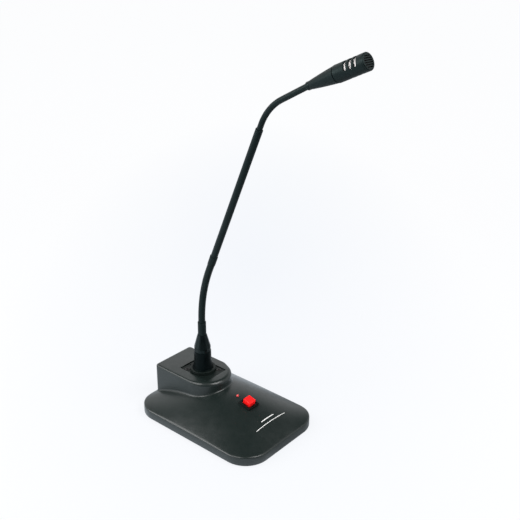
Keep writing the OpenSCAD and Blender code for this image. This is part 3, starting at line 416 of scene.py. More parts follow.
def surface(name, color, rough, vary=0.12, rough_vary=0.06, patch=25.0, grain=900.0, bump=0.1,
            depth=0.05, metallic=0.0, specular=0.5, coat=0.0, fine=None, cast=PLAIN):
    """A moulded, painted or metal surface: broad colour patches, uneven gloss and a fine grain.

    patch and grain are features per metre, depth is the relief in millimetres,
    cast the tint of the reflections.
    """
    material = bpy.data.materials.new(name)
    n = Nodes(material)
    place = n.add("ShaderNodeTexCoord").outputs["Object"]
    broad = n.add("ShaderNodeTexNoise", Scale=patch, Detail=4.0, Roughness=0.6)
    n.link(place, broad.inputs["Vector"])
    darker = (*[c * (1 - vary) for c in color], 1)
    lighter = (*[min(1, c * (1 + vary)) for c in color], 1)
    n.link(n.mix(broad.outputs["Fac"], darker, lighter), n.shader.inputs["Base Color"])
    smear = n.add("ShaderNodeTexNoise", Scale=patch * 6, Detail=5.0, Roughness=0.65)
    n.link(place, smear.inputs["Vector"])
    gloss = n.remap(smear.outputs["Fac"], (0.3, 0.7), (rough - rough_vary, rough + rough_vary))
    n.link(gloss, n.shader.inputs["Roughness"])
    if fine == "cells":
        relief = n.add("ShaderNodeTexVoronoi", Scale=grain)
        height = relief.outputs["Distance"]
    else:
        relief = n.add("ShaderNodeTexNoise", Scale=grain, Detail=2.0, Roughness=0.5)
        height = relief.outputs["Fac"]
    if fine == "brushed":
        stretch = n.add("ShaderNodeMapping", Scale=(1, 1, 0.04))
        n.link(place, stretch.inputs["Vector"])
        n.link(stretch.outputs["Vector"], relief.inputs["Vector"])
    else:
        n.link(place, relief.inputs["Vector"])
    relief_bump = n.add("ShaderNodeBump", Strength=bump, Distance=depth * MM)
    n.link(height, relief_bump.inputs["Height"])
    n.link(relief_bump.outputs["Normal"], n.shader.inputs["Normal"])
    n.shade(Metallic=metallic, Specular_IOR_Level=specular, Specular_Tint=cast,
            Coat_Weight=coat, Coat_Roughness=0.15)
    return material


COVER = surface("cover_plastic", (0.0072, 0.0130, 0.0118), 0.33, vary=0.05, rough_vary=0.04, grain=1500,
                bump=0.2, depth=0.05, specular=0.5, fine="cells")
PLUG = surface("plug_plastic", JET, 0.36, grain=1200, bump=0.1, specular=0.08, cast=COOL)
BOOT = surface("boot_plastic", JET, 0.34, grain=1200, bump=0.1, specular=0.25, cast=COOL)
SOCKET = surface("socket_coat", (0.006, 0.010, 0.009), 0.45, grain=1400, bump=0.15, specular=0.16)
NECK = surface("neck_coat", BLACK, 0.42, grain=1000, bump=0.12, patch=60, specular=0.18, cast=COOL)
STEM = surface("stem_coat", BLACK, 0.38, grain=700, bump=0.15, patch=60, specular=0.18, fine="brushed",
               cast=COOL)
HEAD = surface("head_plastic", BLACK, 0.45, grain=1800, bump=0.2, specular=0.2, fine="cells", cast=COOL)
BEZEL = surface("bezel_plastic", (0.003, 0.0045, 0.0045), 0.35, grain=1300, bump=0.1, specular=0.2)
RED = surface("button_plastic", (1.0, 0.012, 0.012), 0.35, vary=0.03, grain=1100, bump=0.05, specular=0.25)
LENS = surface("lamp_lens", (1.0, 0.10, 0.10), 0.3, vary=0.08, grain=2500, bump=0.05, specular=0.3)
RUBBER = surface("rubber", (0.012, 0.012, 0.012), 0.75, grain=800, bump=0.25)
STEEL = surface("steel", (0.55, 0.55, 0.54), 0.3, grain=900, bump=0.12, metallic=1.0, fine="brushed")
SCREW = surface("black_screw", (0.022, 0.022, 0.022), 0.35, grain=900, bump=0.12, metallic=0.3, specular=0.35)
PAINTED = surface("plate_paint", (0.02, 0.021, 0.022), 0.55, grain=700, bump=0.35, fine="cells")
IRON = surface("cast_iron", (0.09, 0.088, 0.085), 0.7, grain=500, bump=0.5, depth=0.2, metallic=0.4)
BRASS = surface("brass", (0.72, 0.52, 0.2), 0.28, grain=900, bump=0.1, metallic=1.0)
BOARD = surface("board_mask", (0.012, 0.10, 0.04), 0.35, vary=0.3, patch=180, grain=600, bump=0.2, coat=0.3)
PARTS = surface("board_sleeve", (0.02, 0.022, 0.03), 0.4, grain=900, bump=0.1)
WHITE = surface("print_ink", (0.80, 0.80, 0.78), 0.6, vary=0.08, patch=800, grain=3000, bump=0.1)
WIRE = surface("mesh_wire", (0.80, 0.77, 0.76), 0.55, grain=2000, bump=0.05, metallic=1.0)
CAPSULE = surface("capsule_can", (0.68, 0.67, 0.65), 0.3, grain=1200, bump=0.1, metallic=1.0, fine="brushed")
FOAM = surface("foam", (0.01, 0.01, 0.01), 0.95, grain=1600, bump=0.8, depth=0.2, fine="cells")


def wound():
    """Flexible neck: a sleeve over a wound core that shows as faint turns along it."""
    material = surface("flex_sleeve", BLACK, 0.42, patch=60, specular=0.18, cast=COOL)
    n = Nodes(material)
    turns = n.add("ShaderNodeTexWave", wave_type="BANDS", bands_direction="Y", Scale=0.42, Distortion=0.15)
    n.link(n.add("ShaderNodeUVMap").outputs["UV"], turns.inputs["Vector"])
    bump = n.add("ShaderNodeBump", Strength=0.35, Distance=0.05 * MM)
    n.link(turns.outputs["Fac"], bump.inputs["Height"])
    n.link(n.shader.inputs["Normal"].links[0].from_socket, bump.inputs["Normal"])
    n.link(bump.outputs["Normal"], n.shader.inputs["Normal"])
    return material


FLEX = wound()

for node, material in {
    "bottom_plate": PAINTED, "ballast_bars": IRON, "cover_screws": STEEL, "socket_insert": BEZEL,
    "socket_contacts": BRASS, "latch_spring": STEEL, "switch_body": BEZEL,
    "switch_terminals": BRASS, "button_plunger": PLUG, "button_spring": STEEL, "lamp_leads": STEEL,
    "circuit_board": BOARD, "board_posts": BRASS, "board_screws": STEEL, "board_parts": PARTS,
    "plug_insert": BEZEL, "plug_pins": STEEL, "capsule_holder": RUBBER,
}.items():
    mesh = frame["nodes"][node].data
    mesh.materials.clear()
    mesh.materials.append(material)


# Base cover

def base_outline(inset):
    cuts = round(BASE_W / SIDE_CUT), round(BASE_D / SIDE_CUT)
    return rounded_rect(BASE_W - 2 * inset, BASE_D - 2 * inset, CORNER_R - inset, 0, MID_Y, 14, cuts)


def hump_outline(out=0.0):
    """Round nose to the front, straight sides and rounded rear corners, moved outwards."""
    r, rear = HUMP_R + out, HUMP_REAR + min(out, HUMP_LEDGE)
    rc = max(HUMP_CORNER + out, LEAST_R)
    nose_y = HUMP_NOSE + HUMP_R
    points = [(r * math.cos(a), nose_y + r * math.sin(a)) for a in arc(180, 360, 96)]
    side = list(np.linspace(nose_y, HUMP_REAR - HUMP_CORNER - HUMP_ROUND, 11)[1:])
    points += [(r, y) for y in side]
    points += [(r - rc + rc * math.cos(a), rear - rc + rc * math.sin(a)) for a in arc(0, 90, 8)]
    points += [(x, rear) for x in np.linspace(HUMP_R - REAR_MARGIN, REAR_MARGIN - HUMP_R, 10)]
    points += [(rc - r + rc * math.cos(a), rear - rc + rc * math.sin(a)) for a in arc(90, 180, 8)]
    return points + [(-r, y) for y in side[::-1]]


def hump_brow():
    """The hump's outline with the way inwards and the rounding at each point, widest at the nose."""
    brow = []
    for outer, inner in zip(hump_outline(), hump_outline(-HUMP_ROUND)):
        front = min(1, max(0, (HUMP_NOSE + HUMP_R - outer[1]) / NOSE_BLEND))
        size = SIDE_ROUND + (HUMP_ROUND - SIDE_ROUND) * front * front * (3 - 2 * front)
        inwards = (inner[0] - outer[0]) / HUMP_ROUND, (inner[1] - outer[1]) / HUMP_ROUND
        brow.append((outer, inwards, size))
    return brow


def hump_top(x, y):
    """Height of the hump's crowned top."""
    wide, half = HUMP_R - HUMP_ROUND, HUMP_MID - HUMP_NOSE - HUMP_ROUND
    across, lengthwise = max(0, 1 - (x / wide) ** 2), max(0, 1 - ((y - HUMP_MID) / half) ** 2)
    return HUMP_TOP + HUMP_CROWN * across * lengthwise


def cover_rim(s):
    """Side wall with an upper edge that rounds over into the crown."""
    start, inner, next_in = (base_outline(inset) for inset in (0, EDGE, EDGE + PROBE))
    rings = [at(base_outline(inset), z) for inset, z in (
        (COVER_WALL, WALL_SHOWN), (COVER_WALL, 0), (LOWER_EDGE, 0), (BREAK, BREAK), (0, LOWER_EDGE))]
    steps = 7
    for t in (k / steps for k in range(steps + 1)):
        ring = []
        for (x0, y0), (x1, y1), (x2, y2) in zip(start, inner, next_in):
            top = dome(x1, y1)
            knee = top - (dome(x2, y2) - top) / PROBE * EDGE
            f = t * t
            ring.append((x0 + (x1 - x0) * f, y0 + (y1 - y0) * f,
                         (knee - EDGE) * (1 - t) ** 2 + knee * 2 * t * (1 - t) + top * f))
        rings.append(ring)
    s.loft(rings)


def cover_crown(s):
    """Crowned top with holes for the hump, the switch and the lamp."""
    holes = [hump_outline(-HUMP_LAP), rounded_rect(SWITCH_HOLE, SWITCH_HOLE, SWITCH_HOLE_R, 0, BUTTON_Y, 4),
             circle(LAMP_HOLE_R, 24, 0, LAMP_Y)]
    s.sheet([base_outline(EDGE)] + holes, SHEET_STEP, lambda x, y: (x, y, dome(x, y)))


def cover_hump(s):
    """Hump with a fillet at its foot, a rounded brow and the pocket of the flange."""
    rings = [[(x, y, dome(x, y) - HUMP_SUNK) for x, y in hump_outline(HUMP_FILLET)]]
    for a in arc(0, 90, 6):
        lift = HUMP_FILLET * (1 - math.cos(a))
        rings.append([(x, y, dome(x, y) + lift) for x, y in hump_outline(HUMP_FILLET * (1 - math.sin(a)))])
    brow = hump_brow()
    brink = [(x + dx * size, y + dy * size) for (x, y), (dx, dy), size in brow]
    for a in arc(0, 90, 8):
        into, drop = 1 - math.cos(a), 1 - math.sin(a)
        rings.append([(x + dx * size * into, y + dy * size * into, hump_top(*edge) - size * drop)
                      for ((x, y), (dx, dy), size), edge in zip(brow, brink)])
    s.loft(rings)

    def pocket(out):
        grown = 2 * (POCKET_GAP + out)
        return rounded_rect(FLANGE_W + grown, FLANGE_L + grown, FLANGE_R + POCKET_GAP + out, 0, PLUG_Y, 6)

    s.sheet([brink, pocket(POCKET_LIP)], SHEET_STEP, lambda x, y: (x, y, hump_top(x, y)))
    floor = FLANGE_TOP - FLANGE_T - POCKET_PLAY
    rings = [[(x, y, hump_top(x, y) - down) for x, y in pocket(out)]
             for out, down in ((POCKET_LIP, 0), (0.04, 0.04), (0, POCKET_LIP))]
    s.loft(rings + [at(pocket(0), floor), at(pocket(-POCKET_SHELF), floor)])


def cover():
    s = Shape()
    cover_rim(s)
    cover_crown(s)
    cover_hump(s)
    return make("cover", s, COVER, "base", ["top_cover"], 40)


def printed_rules():
    """Two plain printed lines near the front edge."""
    s = Shape()
    for y, left, right, high in RULES:
        xs = np.linspace(left, right, 40)
        half, n = high / 2, len(xs)
        rows = [[(x, y + dy, dome(x, y + dy) + up) for x in xs]
                for dy, up in ((-half, -PRINT_SUNK), (-half, PRINT_T), (half, PRINT_T), (half, -PRINT_SUNK))]
        s.add([p for row in rows for p in row],
              [[j * n + i, j * n + i + 1, (j + 1) * n + i + 1, (j + 1) * n + i]
               for j in range(3) for i in range(n - 1)])
    return make("printed_rules", s, WHITE, "base")


def feet():
    s = Shape()
    for x in FEET_X:
        for y in FEET_Y:
            s.where = Matrix.Translation((x, y, 0))
            profile = [(AXIS_R, -FOOT_H), (FOOT_R - FOOT_TAPER, -FOOT_H), (FOOT_R, 0), (AXIS_R, 0)]
            s.lathe(rounded(profile, FOOT_EDGE), 48)
    return make("feet", s, RUBBER, "base", ["rubber_feet"])


# Socket

def screw_places():
    return [(-sign * SCREW_X, PLUG_Y + sign * SCREW_Y) for sign in (-1, 1)]


def socket():
    """Flange with its slot and screw holes, ring round the plug and barrel below."""
    s = Shape()
    top, bottom = FLANGE_TOP, FLANGE_TOP - FLANGE_T

    def plate(inset):
        return rounded_rect(FLANGE_W - 2 * inset, FLANGE_L - 2 * inset, FLANGE_R - inset, 0, PLUG_Y, 6)

    screws = [circle(SCREW_HOLE_R, 32, x, y) for x, y in screw_places()]
    slot = rounded_rect(LATCH_W + 2 * LATCH_GAP, LATCH_T + 2 * LATCH_GAP, LATCH_SLOT_R, 0, LATCH_MID, 3)
    s.loft([at(plate(inset), z) for inset, z in (
        (FLANGE_RIM, bottom), (BREAK, bottom), (0, bottom + BREAK),
        (0, top - FLANGE_EDGE), (BREAK, top - BREAK), (FLANGE_EDGE, top))])
    outlines = [plate(FLANGE_EDGE), circle(RING_R, 64, 0, PLUG_Y), slot] + screws
    s.sheet(outlines, spacing=1.6, lift=lambda x, y: (x, y, top))
    for loop, deep in [(slot, LATCH_SLOT_DEEP)] + [(hole, SCREW_HOLE_DEEP) for hole in screws]:
        s.loft([at(loop, top), at(loop, top - deep)])
    s.where = on_plug()
    ring = [(RING_R, top), (RING_R, RING_TOP), (BORE_R, RING_TOP), (BORE_R, SOCKET_FLOOR)]
    s.lathe(ring[:1] + rounded(ring, RING_EDGE) + [(AXIS_R, SOCKET_FLOOR)])
    s.lathe([(SOCKET_R, bottom), (SOCKET_R, SOCKET_Z + SOCKET_EDGE), (SOCKET_R - SOCKET_EDGE, SOCKET_Z),
             (AXIS_R, SOCKET_Z)])
    return make("socket", s, SOCKET, "base", ["socket_housing"])


def flange_screws():
    """Two screws with raised countersunk heads and a cross recess."""
    s = Shape()
    half = CROSS / 2
    corner = [(half, CROSS_ARM), (-half, CROSS_ARM), (-half, half)]
    quarters = ((1, 0), (0, 1), (-1, 0), (0, -1))
    cross = [(x * c - y * t, x * t + y * c) for c, t in quarters for x, y in corner]

    def crown(x, y):
        return x, y, SCREW_RISE * (1 - (x * x + y * y) / SCREW_R ** 2)

    for (x, y), turn in zip(screw_places(), SCREW_TURNS):
        s.where = Matrix.Translation((x, y, FLANGE_TOP)) @ Matrix.Rotation(math.radians(turn), 4, "Z")
        s.sheet([circle(SCREW_R, 32), cross], spacing=0.6, lift=crown)
        s.loft([[crown(*p) for p in cross], at(cross, -CROSS_DEEP)], end=True)
        s.lathe([(SCREW_R, 0), (SHANK_R, -SCREW_HOLE_DEEP), (SHANK_R, -SHANK_LEN), (AXIS_R, -SHANK_LEN)], 32)
    return make("flange_screws", s, SCREW, "base", ["socket_screws"])


def latch():
    """Tab behind the plug with three grip ribs on its top."""
    s = Shape()
    top = FLANGE_TOP + LATCH_PROUD

    def plan(inset):
        return rounded_rect(LATCH_W - 2 * inset, LATCH_T - 2 * inset, LATCH_R - inset / 2, 0, LATCH_MID, 4)

    knee = 0.3 * LATCH_EDGE
    steps = ((0, FLANGE_TOP - LATCH_LEN), (0, top - LATCH_EDGE), (knee, top - knee), (LATCH_EDGE, top))
    s.loft([at(plan(inset), z) for inset, z in steps], True, True)
    for x in GRIP_RIBS:
        rib = rounded_rect(GRIP_W, LATCH_T - GRIP_SHORT, GRIP_R, x, LATCH_MID, 3)
        s.loft([at(rib, top - BREAK), at(rib, top)], end=True)
    shoulder = rounded_rect(LATCH_W + 2 * SHOULDER_OUT, LATCH_T, LATCH_SLOT_R, 0, LATCH_MID, 3)
    under = FLANGE_TOP - FLANGE_T - SHOULDER_PLAY
    s.loft([at(shoulder, under - SHOULDER_LEN), at(shoulder, under)], True, True)
    return make("latch", s, PLUG, "latch", ["release_latch"])


# Button and lamp

def button():
    s = Shape(on_dome(BUTTON_Y))

    def plan(inset):
        side = CAP_SIDE - 2 * inset
        return rounded_rect(side, side, max(CAP_R - inset / 2, BREAK), 0, 0, 6)

    rings = [at(plan(CAP_FOOT), -CAP_DEEP), at(plan(0), CAP_FOOT - CAP_DEEP),
             at(plan(CAP_DRAFT), CAP_H - CAP_EDGE)]
    for a in arc(15, 90, 5):
        rings.append(at(plan(CAP_DRAFT + CAP_EDGE * (1 - math.cos(a))), CAP_H - CAP_EDGE * (1 - math.sin(a))))
    rings += [at(plan(inset), CAP_H - deep) for inset, deep in CAP_DISH]
    s.loft(rings, True, True)
    return make("cap", s, RED, "button", ["button_cap"], 50)


def bezel():
    """Frame round the button with a stepped opening and a sleeve below."""
    s = Shape(on_dome(BUTTON_Y))
    out, hole, sleeve = BEZEL_SIDE / 2, BEZEL_OPEN / 2, BEZEL_OPEN / 2 + BEZEL_WALL
    outside = [(out, BEZEL_R, -BEZEL_SEAT)] + [(out - inset, r, BEZEL_H - down) for inset, r, down in (
        (0, BEZEL_R, 0.3), (0.1, 0.55, 0.08), (0.35, 0.5, 0))]
    opening = [(hole + wider, BEZEL_HOLE_R, BEZEL_H - down) for wider, down in (
        (0.75, 0), (0.6, 0.1), (0.5, 0.45), (0.12, 0.5), (0, 0.62), (0, BEZEL_H + BEZEL_DEEP))]
    below = [(sleeve, BEZEL_HOLE_R, -BEZEL_DEEP), (sleeve, BEZEL_HOLE_R, -BEZEL_SEAT)]
    s.loft([at(rounded_rect(2 * half, 2 * half, r, 0, 0, 6), z) for half, r, z in outside + opening + below])
    return make("bezel", s, BEZEL, "base", ["switch_bezel"])


def lamp():
    s = Shape(on_dome(LAMP_Y))
    r, flange, shoulder = LAMP_R, LAMP_R + LAMP_FLANGE, LAMP_FLANGE_T - LAMP_DEEP
    s.lathe([(AXIS_R, -LAMP_DEEP), (flange, -LAMP_DEEP), (flange, shoulder), (r, shoulder)]
            + [(r * math.cos(a), LAMP_PROUD + r * math.sin(a)) for a in arc(0, 89.5, 12)], 40, True, True)
    return make("lamp_dome", s, LENS, "base", ["lamp"])


def outlet():
    """Rubber grommet in the rear wall."""
    wall = Matrix.Translation((0, HUMP_REAR - COVER_WALL, OUTLET_Z))
    s = Shape(wall @ Matrix.Rotation(math.radians(-90), 4, "X"))
    r, neck, bore, thick = OUTLET_R, OUTLET_NECK_R, OUTLET_BORE_R, COVER_WALL
    back = [(bore, -OUTLET_IN), (r, -OUTLET_IN)]
    groove = [(r, -OUTLET_PLAY), (neck, -OUTLET_PLAY), (neck, thick), (r, thick)]
    s.lathe(rounded(back + groove + [(r, OUTLET_OUT), (bore, OUTLET_OUT)] + back, OUTLET_EDGE), 48)
    return make("outlet", s, RUBBER, "base", ["cable_outlet"])


# Plug

def plug():
    s = Shape(on_plug())
    rim = PLUG_TOP - PLUG_PLAY
    profile = rounded([(SKIRT_R, HOLLOW_Z), (SKIRT_R, PLUG_Z), (PLUG_R, PLUG_Z), (PLUG_R, PLUG_BODY_Z),
                       (PLUG_R - PLUG_STEP, PLUG_BODY_Z + PLUG_STEP), (PLUG_WAIST_R, PLUG_FLARE_Z)], SOFT)
    profile += rounded([(PLUG_WAIST_R, PLUG_FLARE_Z + PLUG_STEP), (PLUG_WAIST_R - PLUG_TAPER, rim),
                        (HOLLOW_R, rim), (HOLLOW_R, HOLLOW_Z), (SKIRT_R, HOLLOW_Z)], PLUG_RIM_EDGE)
    s.lathe(profile, 72)
    return make("plug_body", s, PLUG, "plug", ["plug_shell"])


def boot():
    """Tapering boot with flats that run over its short skirt."""
    s = Shape(on_plug())
    shoulder = PLUG_TOP + BOOT_SKIRT
    apothem = BOOT_FLAT * math.cos(math.pi / BOOT_SIDES)
    foot, steps, sides = BOOT_R - BOOT_STEP, 12, 128
    profile = [(foot - BREAK, PLUG_TOP), (foot, PLUG_TOP + BREAK), (foot, shoulder - BOOT_BEVEL),
               (BOOT_R, shoulder)]
    profile += [(BOOT_R + (BOOT_TOP_R - BOOT_R) * t, shoulder + (BOOT_TOP - shoulder) * t)
                for t in (k / steps for k in range(1, steps + 1))]
    rings = [at(circle(BOOT_SPIGOT_R, sides), z) for z in (PLUG_TOP - SPIGOT_IN, PLUG_TOP)]
    for r, z in profile:
        ring = []
        for a in arc(0, 360, sides)[:-1]:
            off = (a + math.pi / BOOT_SIDES) % (2 * math.pi / BOOT_SIDES) - math.pi / BOOT_SIDES
            flat = min(r, r * apothem / math.cos(off))
            ring.append((flat * math.cos(a), flat * math.sin(a), z))
        rings.append(ring)
    s.loft(rings, True, True)
    return make("boot", s, BOOT, "plug", ["plug_boot"], 18)


def ferrule():
    s = Shape(on_plug())
    r, slim, half = FERRULE_R, FERRULE_R - FERRULE_TAPER, FERRULE_GROOVE_HALF
    groove, seat = FERRULE_TOP - FERRULE_GROOVE, BOOT_TOP - FERRULE_SEAT
    s.lathe(rounded([(FERRULE_SPIGOT_END_R, BOOT_TOP - SPIGOT_IN), (FERRULE_SPIGOT_R, seat), (r, seat),
                     (slim, groove - half), (r - FERRULE_GROOVE_DEEP, groove), (slim, groove + half),
                     (slim, FERRULE_TOP), (WIRE_HOLE_R, FERRULE_TOP)], CRISP), 56)
    return make("ferrule", s, NECK, "plug", ["neck_ferrule"])


# Neck

def flex(tag, start, length, radius):
    """One sleeve, curved along the neck, for each joint of a flexible section."""
    sides, steps = 40, 24
    pitch = length / JOINTS
    for j in range(JOINTS):
        s0 = start + pitch * j
        s = Shape()
        s.loft([[on_neck(s0 + pitch * k / steps) @ Vector(p) for p in at(circle(radius, sides), 0)]
                for k in range(steps + 1)], True, True)
        node = [f"{tag}_link_{j + 1}"] if j < JOINTS - 1 else []
        sleeve = make(f"{tag}_sleeve_{j + 1}", s, FLEX, stands_for=node)
        layer = sleeve.data.uv_layers.new(name="along").data
        to_middle = on_neck(s0 + pitch / 2).inverted()
        for loop in sleeve.data.loops:
            along = (to_middle @ from_row(sleeve.data.vertices[loop.vertex_index].co)).z
            layer[loop.index].uv = (0.0, s0 + pitch / 2 + along)
        ends = [to_row(on_neck(s0 + pitch * k).translation) for k in (BLEND_MARGIN, 1 - BLEND_MARGIN)]
        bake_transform(sleeve)


def stem():
    s = Shape(on_neck(LOWER_LEN))
    profile = [(WIRE_HOLE_R, 0), (COLLAR_R - COLLAR_TAPER, 0), (COLLAR_R, COLLAR_LEN), (STEM_R, COLLAR_LEN)]
    s.lathe(rounded(profile, SOFT), 48)
    make("collar", s, NECK, "stem", ["stem_collar"])
    s = Shape(on_neck(LOWER_LEN + COLLAR_LEN - STEM_SEAT))
    length = STEM_SEAT + STEM_LEN
    s.lathe(rounded([(STEM_BORE_R, 0), (STEM_R, 0), (STEM_R, length), (STEM_BORE_R, length)], CRISP), 48)
    make("tube", s, STEM, "stem", ["stem_tube"])
    s = Shape(on_neck(UPPER_START - TUBE_END_IN))
    length = TUBE_END_IN + TUBE_END_OUT
    profile = [(WIRE_HOLE_R, 0), (TUBE_END_R, 0), (TUBE_END_R, length), (WIRE_HOLE_R, length)]
    s.lathe(rounded(profile, FINE), 40)
    make("tube_end", s, NECK, "stem", ["stem_ferrule"])


# Head

def head_ring():
    s = Shape(on_head())
    r, length, back = HEAD_COLLAR_R, HEAD_COLLAR_LEN, -HEAD_COLLAR_LAP
    ring = [(WIRE_HOLE_R, back), (r - HEAD_COLLAR_EDGE, back), (r, back + HEAD_COLLAR_BEVEL), (r, length)]
    spigot = [(HEAD_SPIGOT_R, length), (HEAD_SPIGOT_R, length + HEAD_SPIGOT_LEN)]
    s.lathe(rounded(ring + spigot, SOFT), 48)
    return make("head_ring", s, NECK, "head", ["head_collar"])


def rear_housing():
    """Bellied taper that ends in a groove before the barrel."""
    s = Shape(on_head())
    back, end, steps = HEAD_COLLAR_LEN, SEAM - GROOVE, 24
    r0, r1 = HEAD_COLLAR_R + HOUSING_STEP, HEAD_R - SEAM_STEP
    profile = [(HOUSING_BORE_R, back), (r0 - HOUSING_BACK_EDGE, back), (r0, back + HOUSING_BACK_EDGE)]
    for t in (k / steps for k in range(1, steps + 1)):
        swell = (1 + BELLY) * t - BELLY * t * t
        profile.append((r0 + (r1 - r0) * swell, back + (end - HOUSING_EDGE - back) * t))
    profile += [(r1 - HOUSING_EDGE, end), (GROOVE_R, end), (GROOVE_R, SEAM + LAP_LEN),
                (LAP_BORE_R, SEAM + LAP_LEN)]
    s.lathe(profile, 72)
    return make("rear_housing", s, HEAD, "head", ["head_housing"])


def capsule_can():
    s = Shape(on_head())
    back, front = SEAM + CAPSULE_Z, SEAM + CAPSULE_Z + CAPSULE_LEN
    s.lathe(rounded([(AXIS_R, back), (CAPSULE_R, back), (CAPSULE_R, front), (CAPSULE_RIM_R, front),
                     (CAPSULE_RIM_R, front - CAPSULE_RIM), (AXIS_R, front - CAPSULE_RIM)], SOFT), 48)
    return make("capsule_can", s, CAPSULE, "head", ["capsule"])


def slotted_barrel():
    """Barrel with two sets of slots, cut in the flat and rolled up."""
    s = Shape(on_head())
    girth, low, high, cuts = 2 * math.pi * HEAD_R, GROOVE, BARREL_LEN, 96
    inner, turn = HEAD_R - HEAD_WALL, math.radians(SLOT_TURN - 90)
    loops = [divided([(0, low), (girth, low), (girth, high), (0, high)], (cuts, 16, cuts, 16))]
    span = math.radians(SLOT_SPAN) * HEAD_R
    for middle in (girth / 4, girth * 3 / 4):
        for k in range(SLOT_COUNT):
            loops.append(rounded_rect(span, SLOT_W, SLOT_R, middle, SLOT_FIRST + k * SLOT_PITCH, 6))

    def roll(r):
        return lambda u, h: (r * math.cos(u / HEAD_R + turn), r * math.sin(u / HEAD_R + turn), SEAM + h)

    for r in (HEAD_R, inner):
        s.sheet(loops, spacing=0.8, lift=roll(r))
    for loop in loops[1:]:
        s.loft([[roll(HEAD_R - HEAD_WALL * t)(u, h) for u, h in loop] for t in (0, 0.5, 1)])
    for h in (low, high):
        s.loft([[roll(r)(girth * k / cuts, h) for k in range(cuts)] for r in (HEAD_R, inner)])
    return make("slotted_barrel", s, HEAD, "head", ["head_barrel"], 40)


def wire_mesh():
    """Screen of crossed wires on a thin backing inside the barrel."""
    s = Shape(on_head())
    low, high, steps = SEAM + MESH_FROM, SEAM + BARREL_LEN - MESH_SHORT, 26
    s.lathe([(MESH_R - MESH_WIRE_R, low), (MESH_R - MESH_WIRE_R, high)], 64)
    for sign in (-1, 1):
        for i in range(MESH_WIRES):
            rings = []
            for k in range(steps + 1):
                rise = (high - low) * k / steps
                a = 2 * math.pi * i / MESH_WIRES + sign * rise / MESH_R
                out = Vector((math.cos(a), math.sin(a), 0))
                side = Vector((-sign * math.sin(a), sign * math.cos(a), -1)) * MESH_LEAN
                weave = MESH_R + sign * MESH_WIRE_R * math.cos(math.pi * (k + i))
                middle = out * weave + Vector((0, 0, low + rise))
                rings.append([middle + (out * math.cos(b) + side * math.sin(b)) * MESH_WIRE_R
                              for b in arc(0, 360, 5)[:-1]])
            s.loft(rings)
    return make("wire_screen", s, WIRE, "head", ["mesh_screen"])


def grille():
    """Front disc with parallel slits and a foam disc behind them."""
    front = Matrix.Translation((0, 0, SEAM + BARREL_LEN))
    s = Shape(on_head() @ front @ Matrix.Rotation(math.radians(SLIT_TURN), 4, "Z"))
    face_r = HEAD_R - GRILLE_EDGE
    loops = [circle(face_r, 96)]
    for k in range(SLITS):
        x = (k - (SLITS - 1) / 2) * SLIT_PITCH
        half = math.sqrt((face_r - GRILLE_EDGE) ** 2 - x * x)
        loops.append(rounded_rect(SLIT_W, 2 * half, SLIT_R, x, 0, 4))
    s.sheet(loops, spacing=0.7, lift=lambda x, y: (x, y, GRILLE_T))
    for loop in loops[1:]:
        s.loft([at(loop, GRILLE_T), at(loop, GRILLE_T - SLIT_DEEP)])
    profile = [(face_r + GRILLE_EDGE * math.sin(a), GRILLE_T - GRILLE_EDGE + GRILLE_EDGE * math.cos(a))
               for a in arc(0, 90, 6)]
    profile += [(HEAD_R, GRILLE_BEVEL), (HEAD_R - GRILLE_BEVEL, GRILLE_PLAY), (GRILLE_SPIGOT_R, GRILLE_PLAY),
                (GRILLE_SPIGOT_R, -GRILLE_SPIGOT), (AXIS_R, -GRILLE_SPIGOT)]
    s.lathe(profile, 96)
    make("front_disc", s, HEAD, "head", ["front_grille"], 40)
    s = Shape(s.where)
    s.lathe([(AXIS_R, FOAM_HIGH), (FOAM_R, FOAM_HIGH), (FOAM_R, FOAM_LOW), (AXIS_R, FOAM_LOW)], 48)
    make("foam_disc", s, FOAM, "head")


cover()
printed_rules()
feet()
socket()
flange_screws()
latch()
button()
bezel()
lamp()
outlet()
plug()
boot()
ferrule()
flex("lower", 0.0, LOWER_LEN, LOWER_R)
stem()
flex("upper", UPPER_START, UPPER_LEN, UPPER_R)
head_ring()
rear_housing()
slotted_barrel()
wire_mesh()
grille()
capsule_can()


# Stage, light and camera

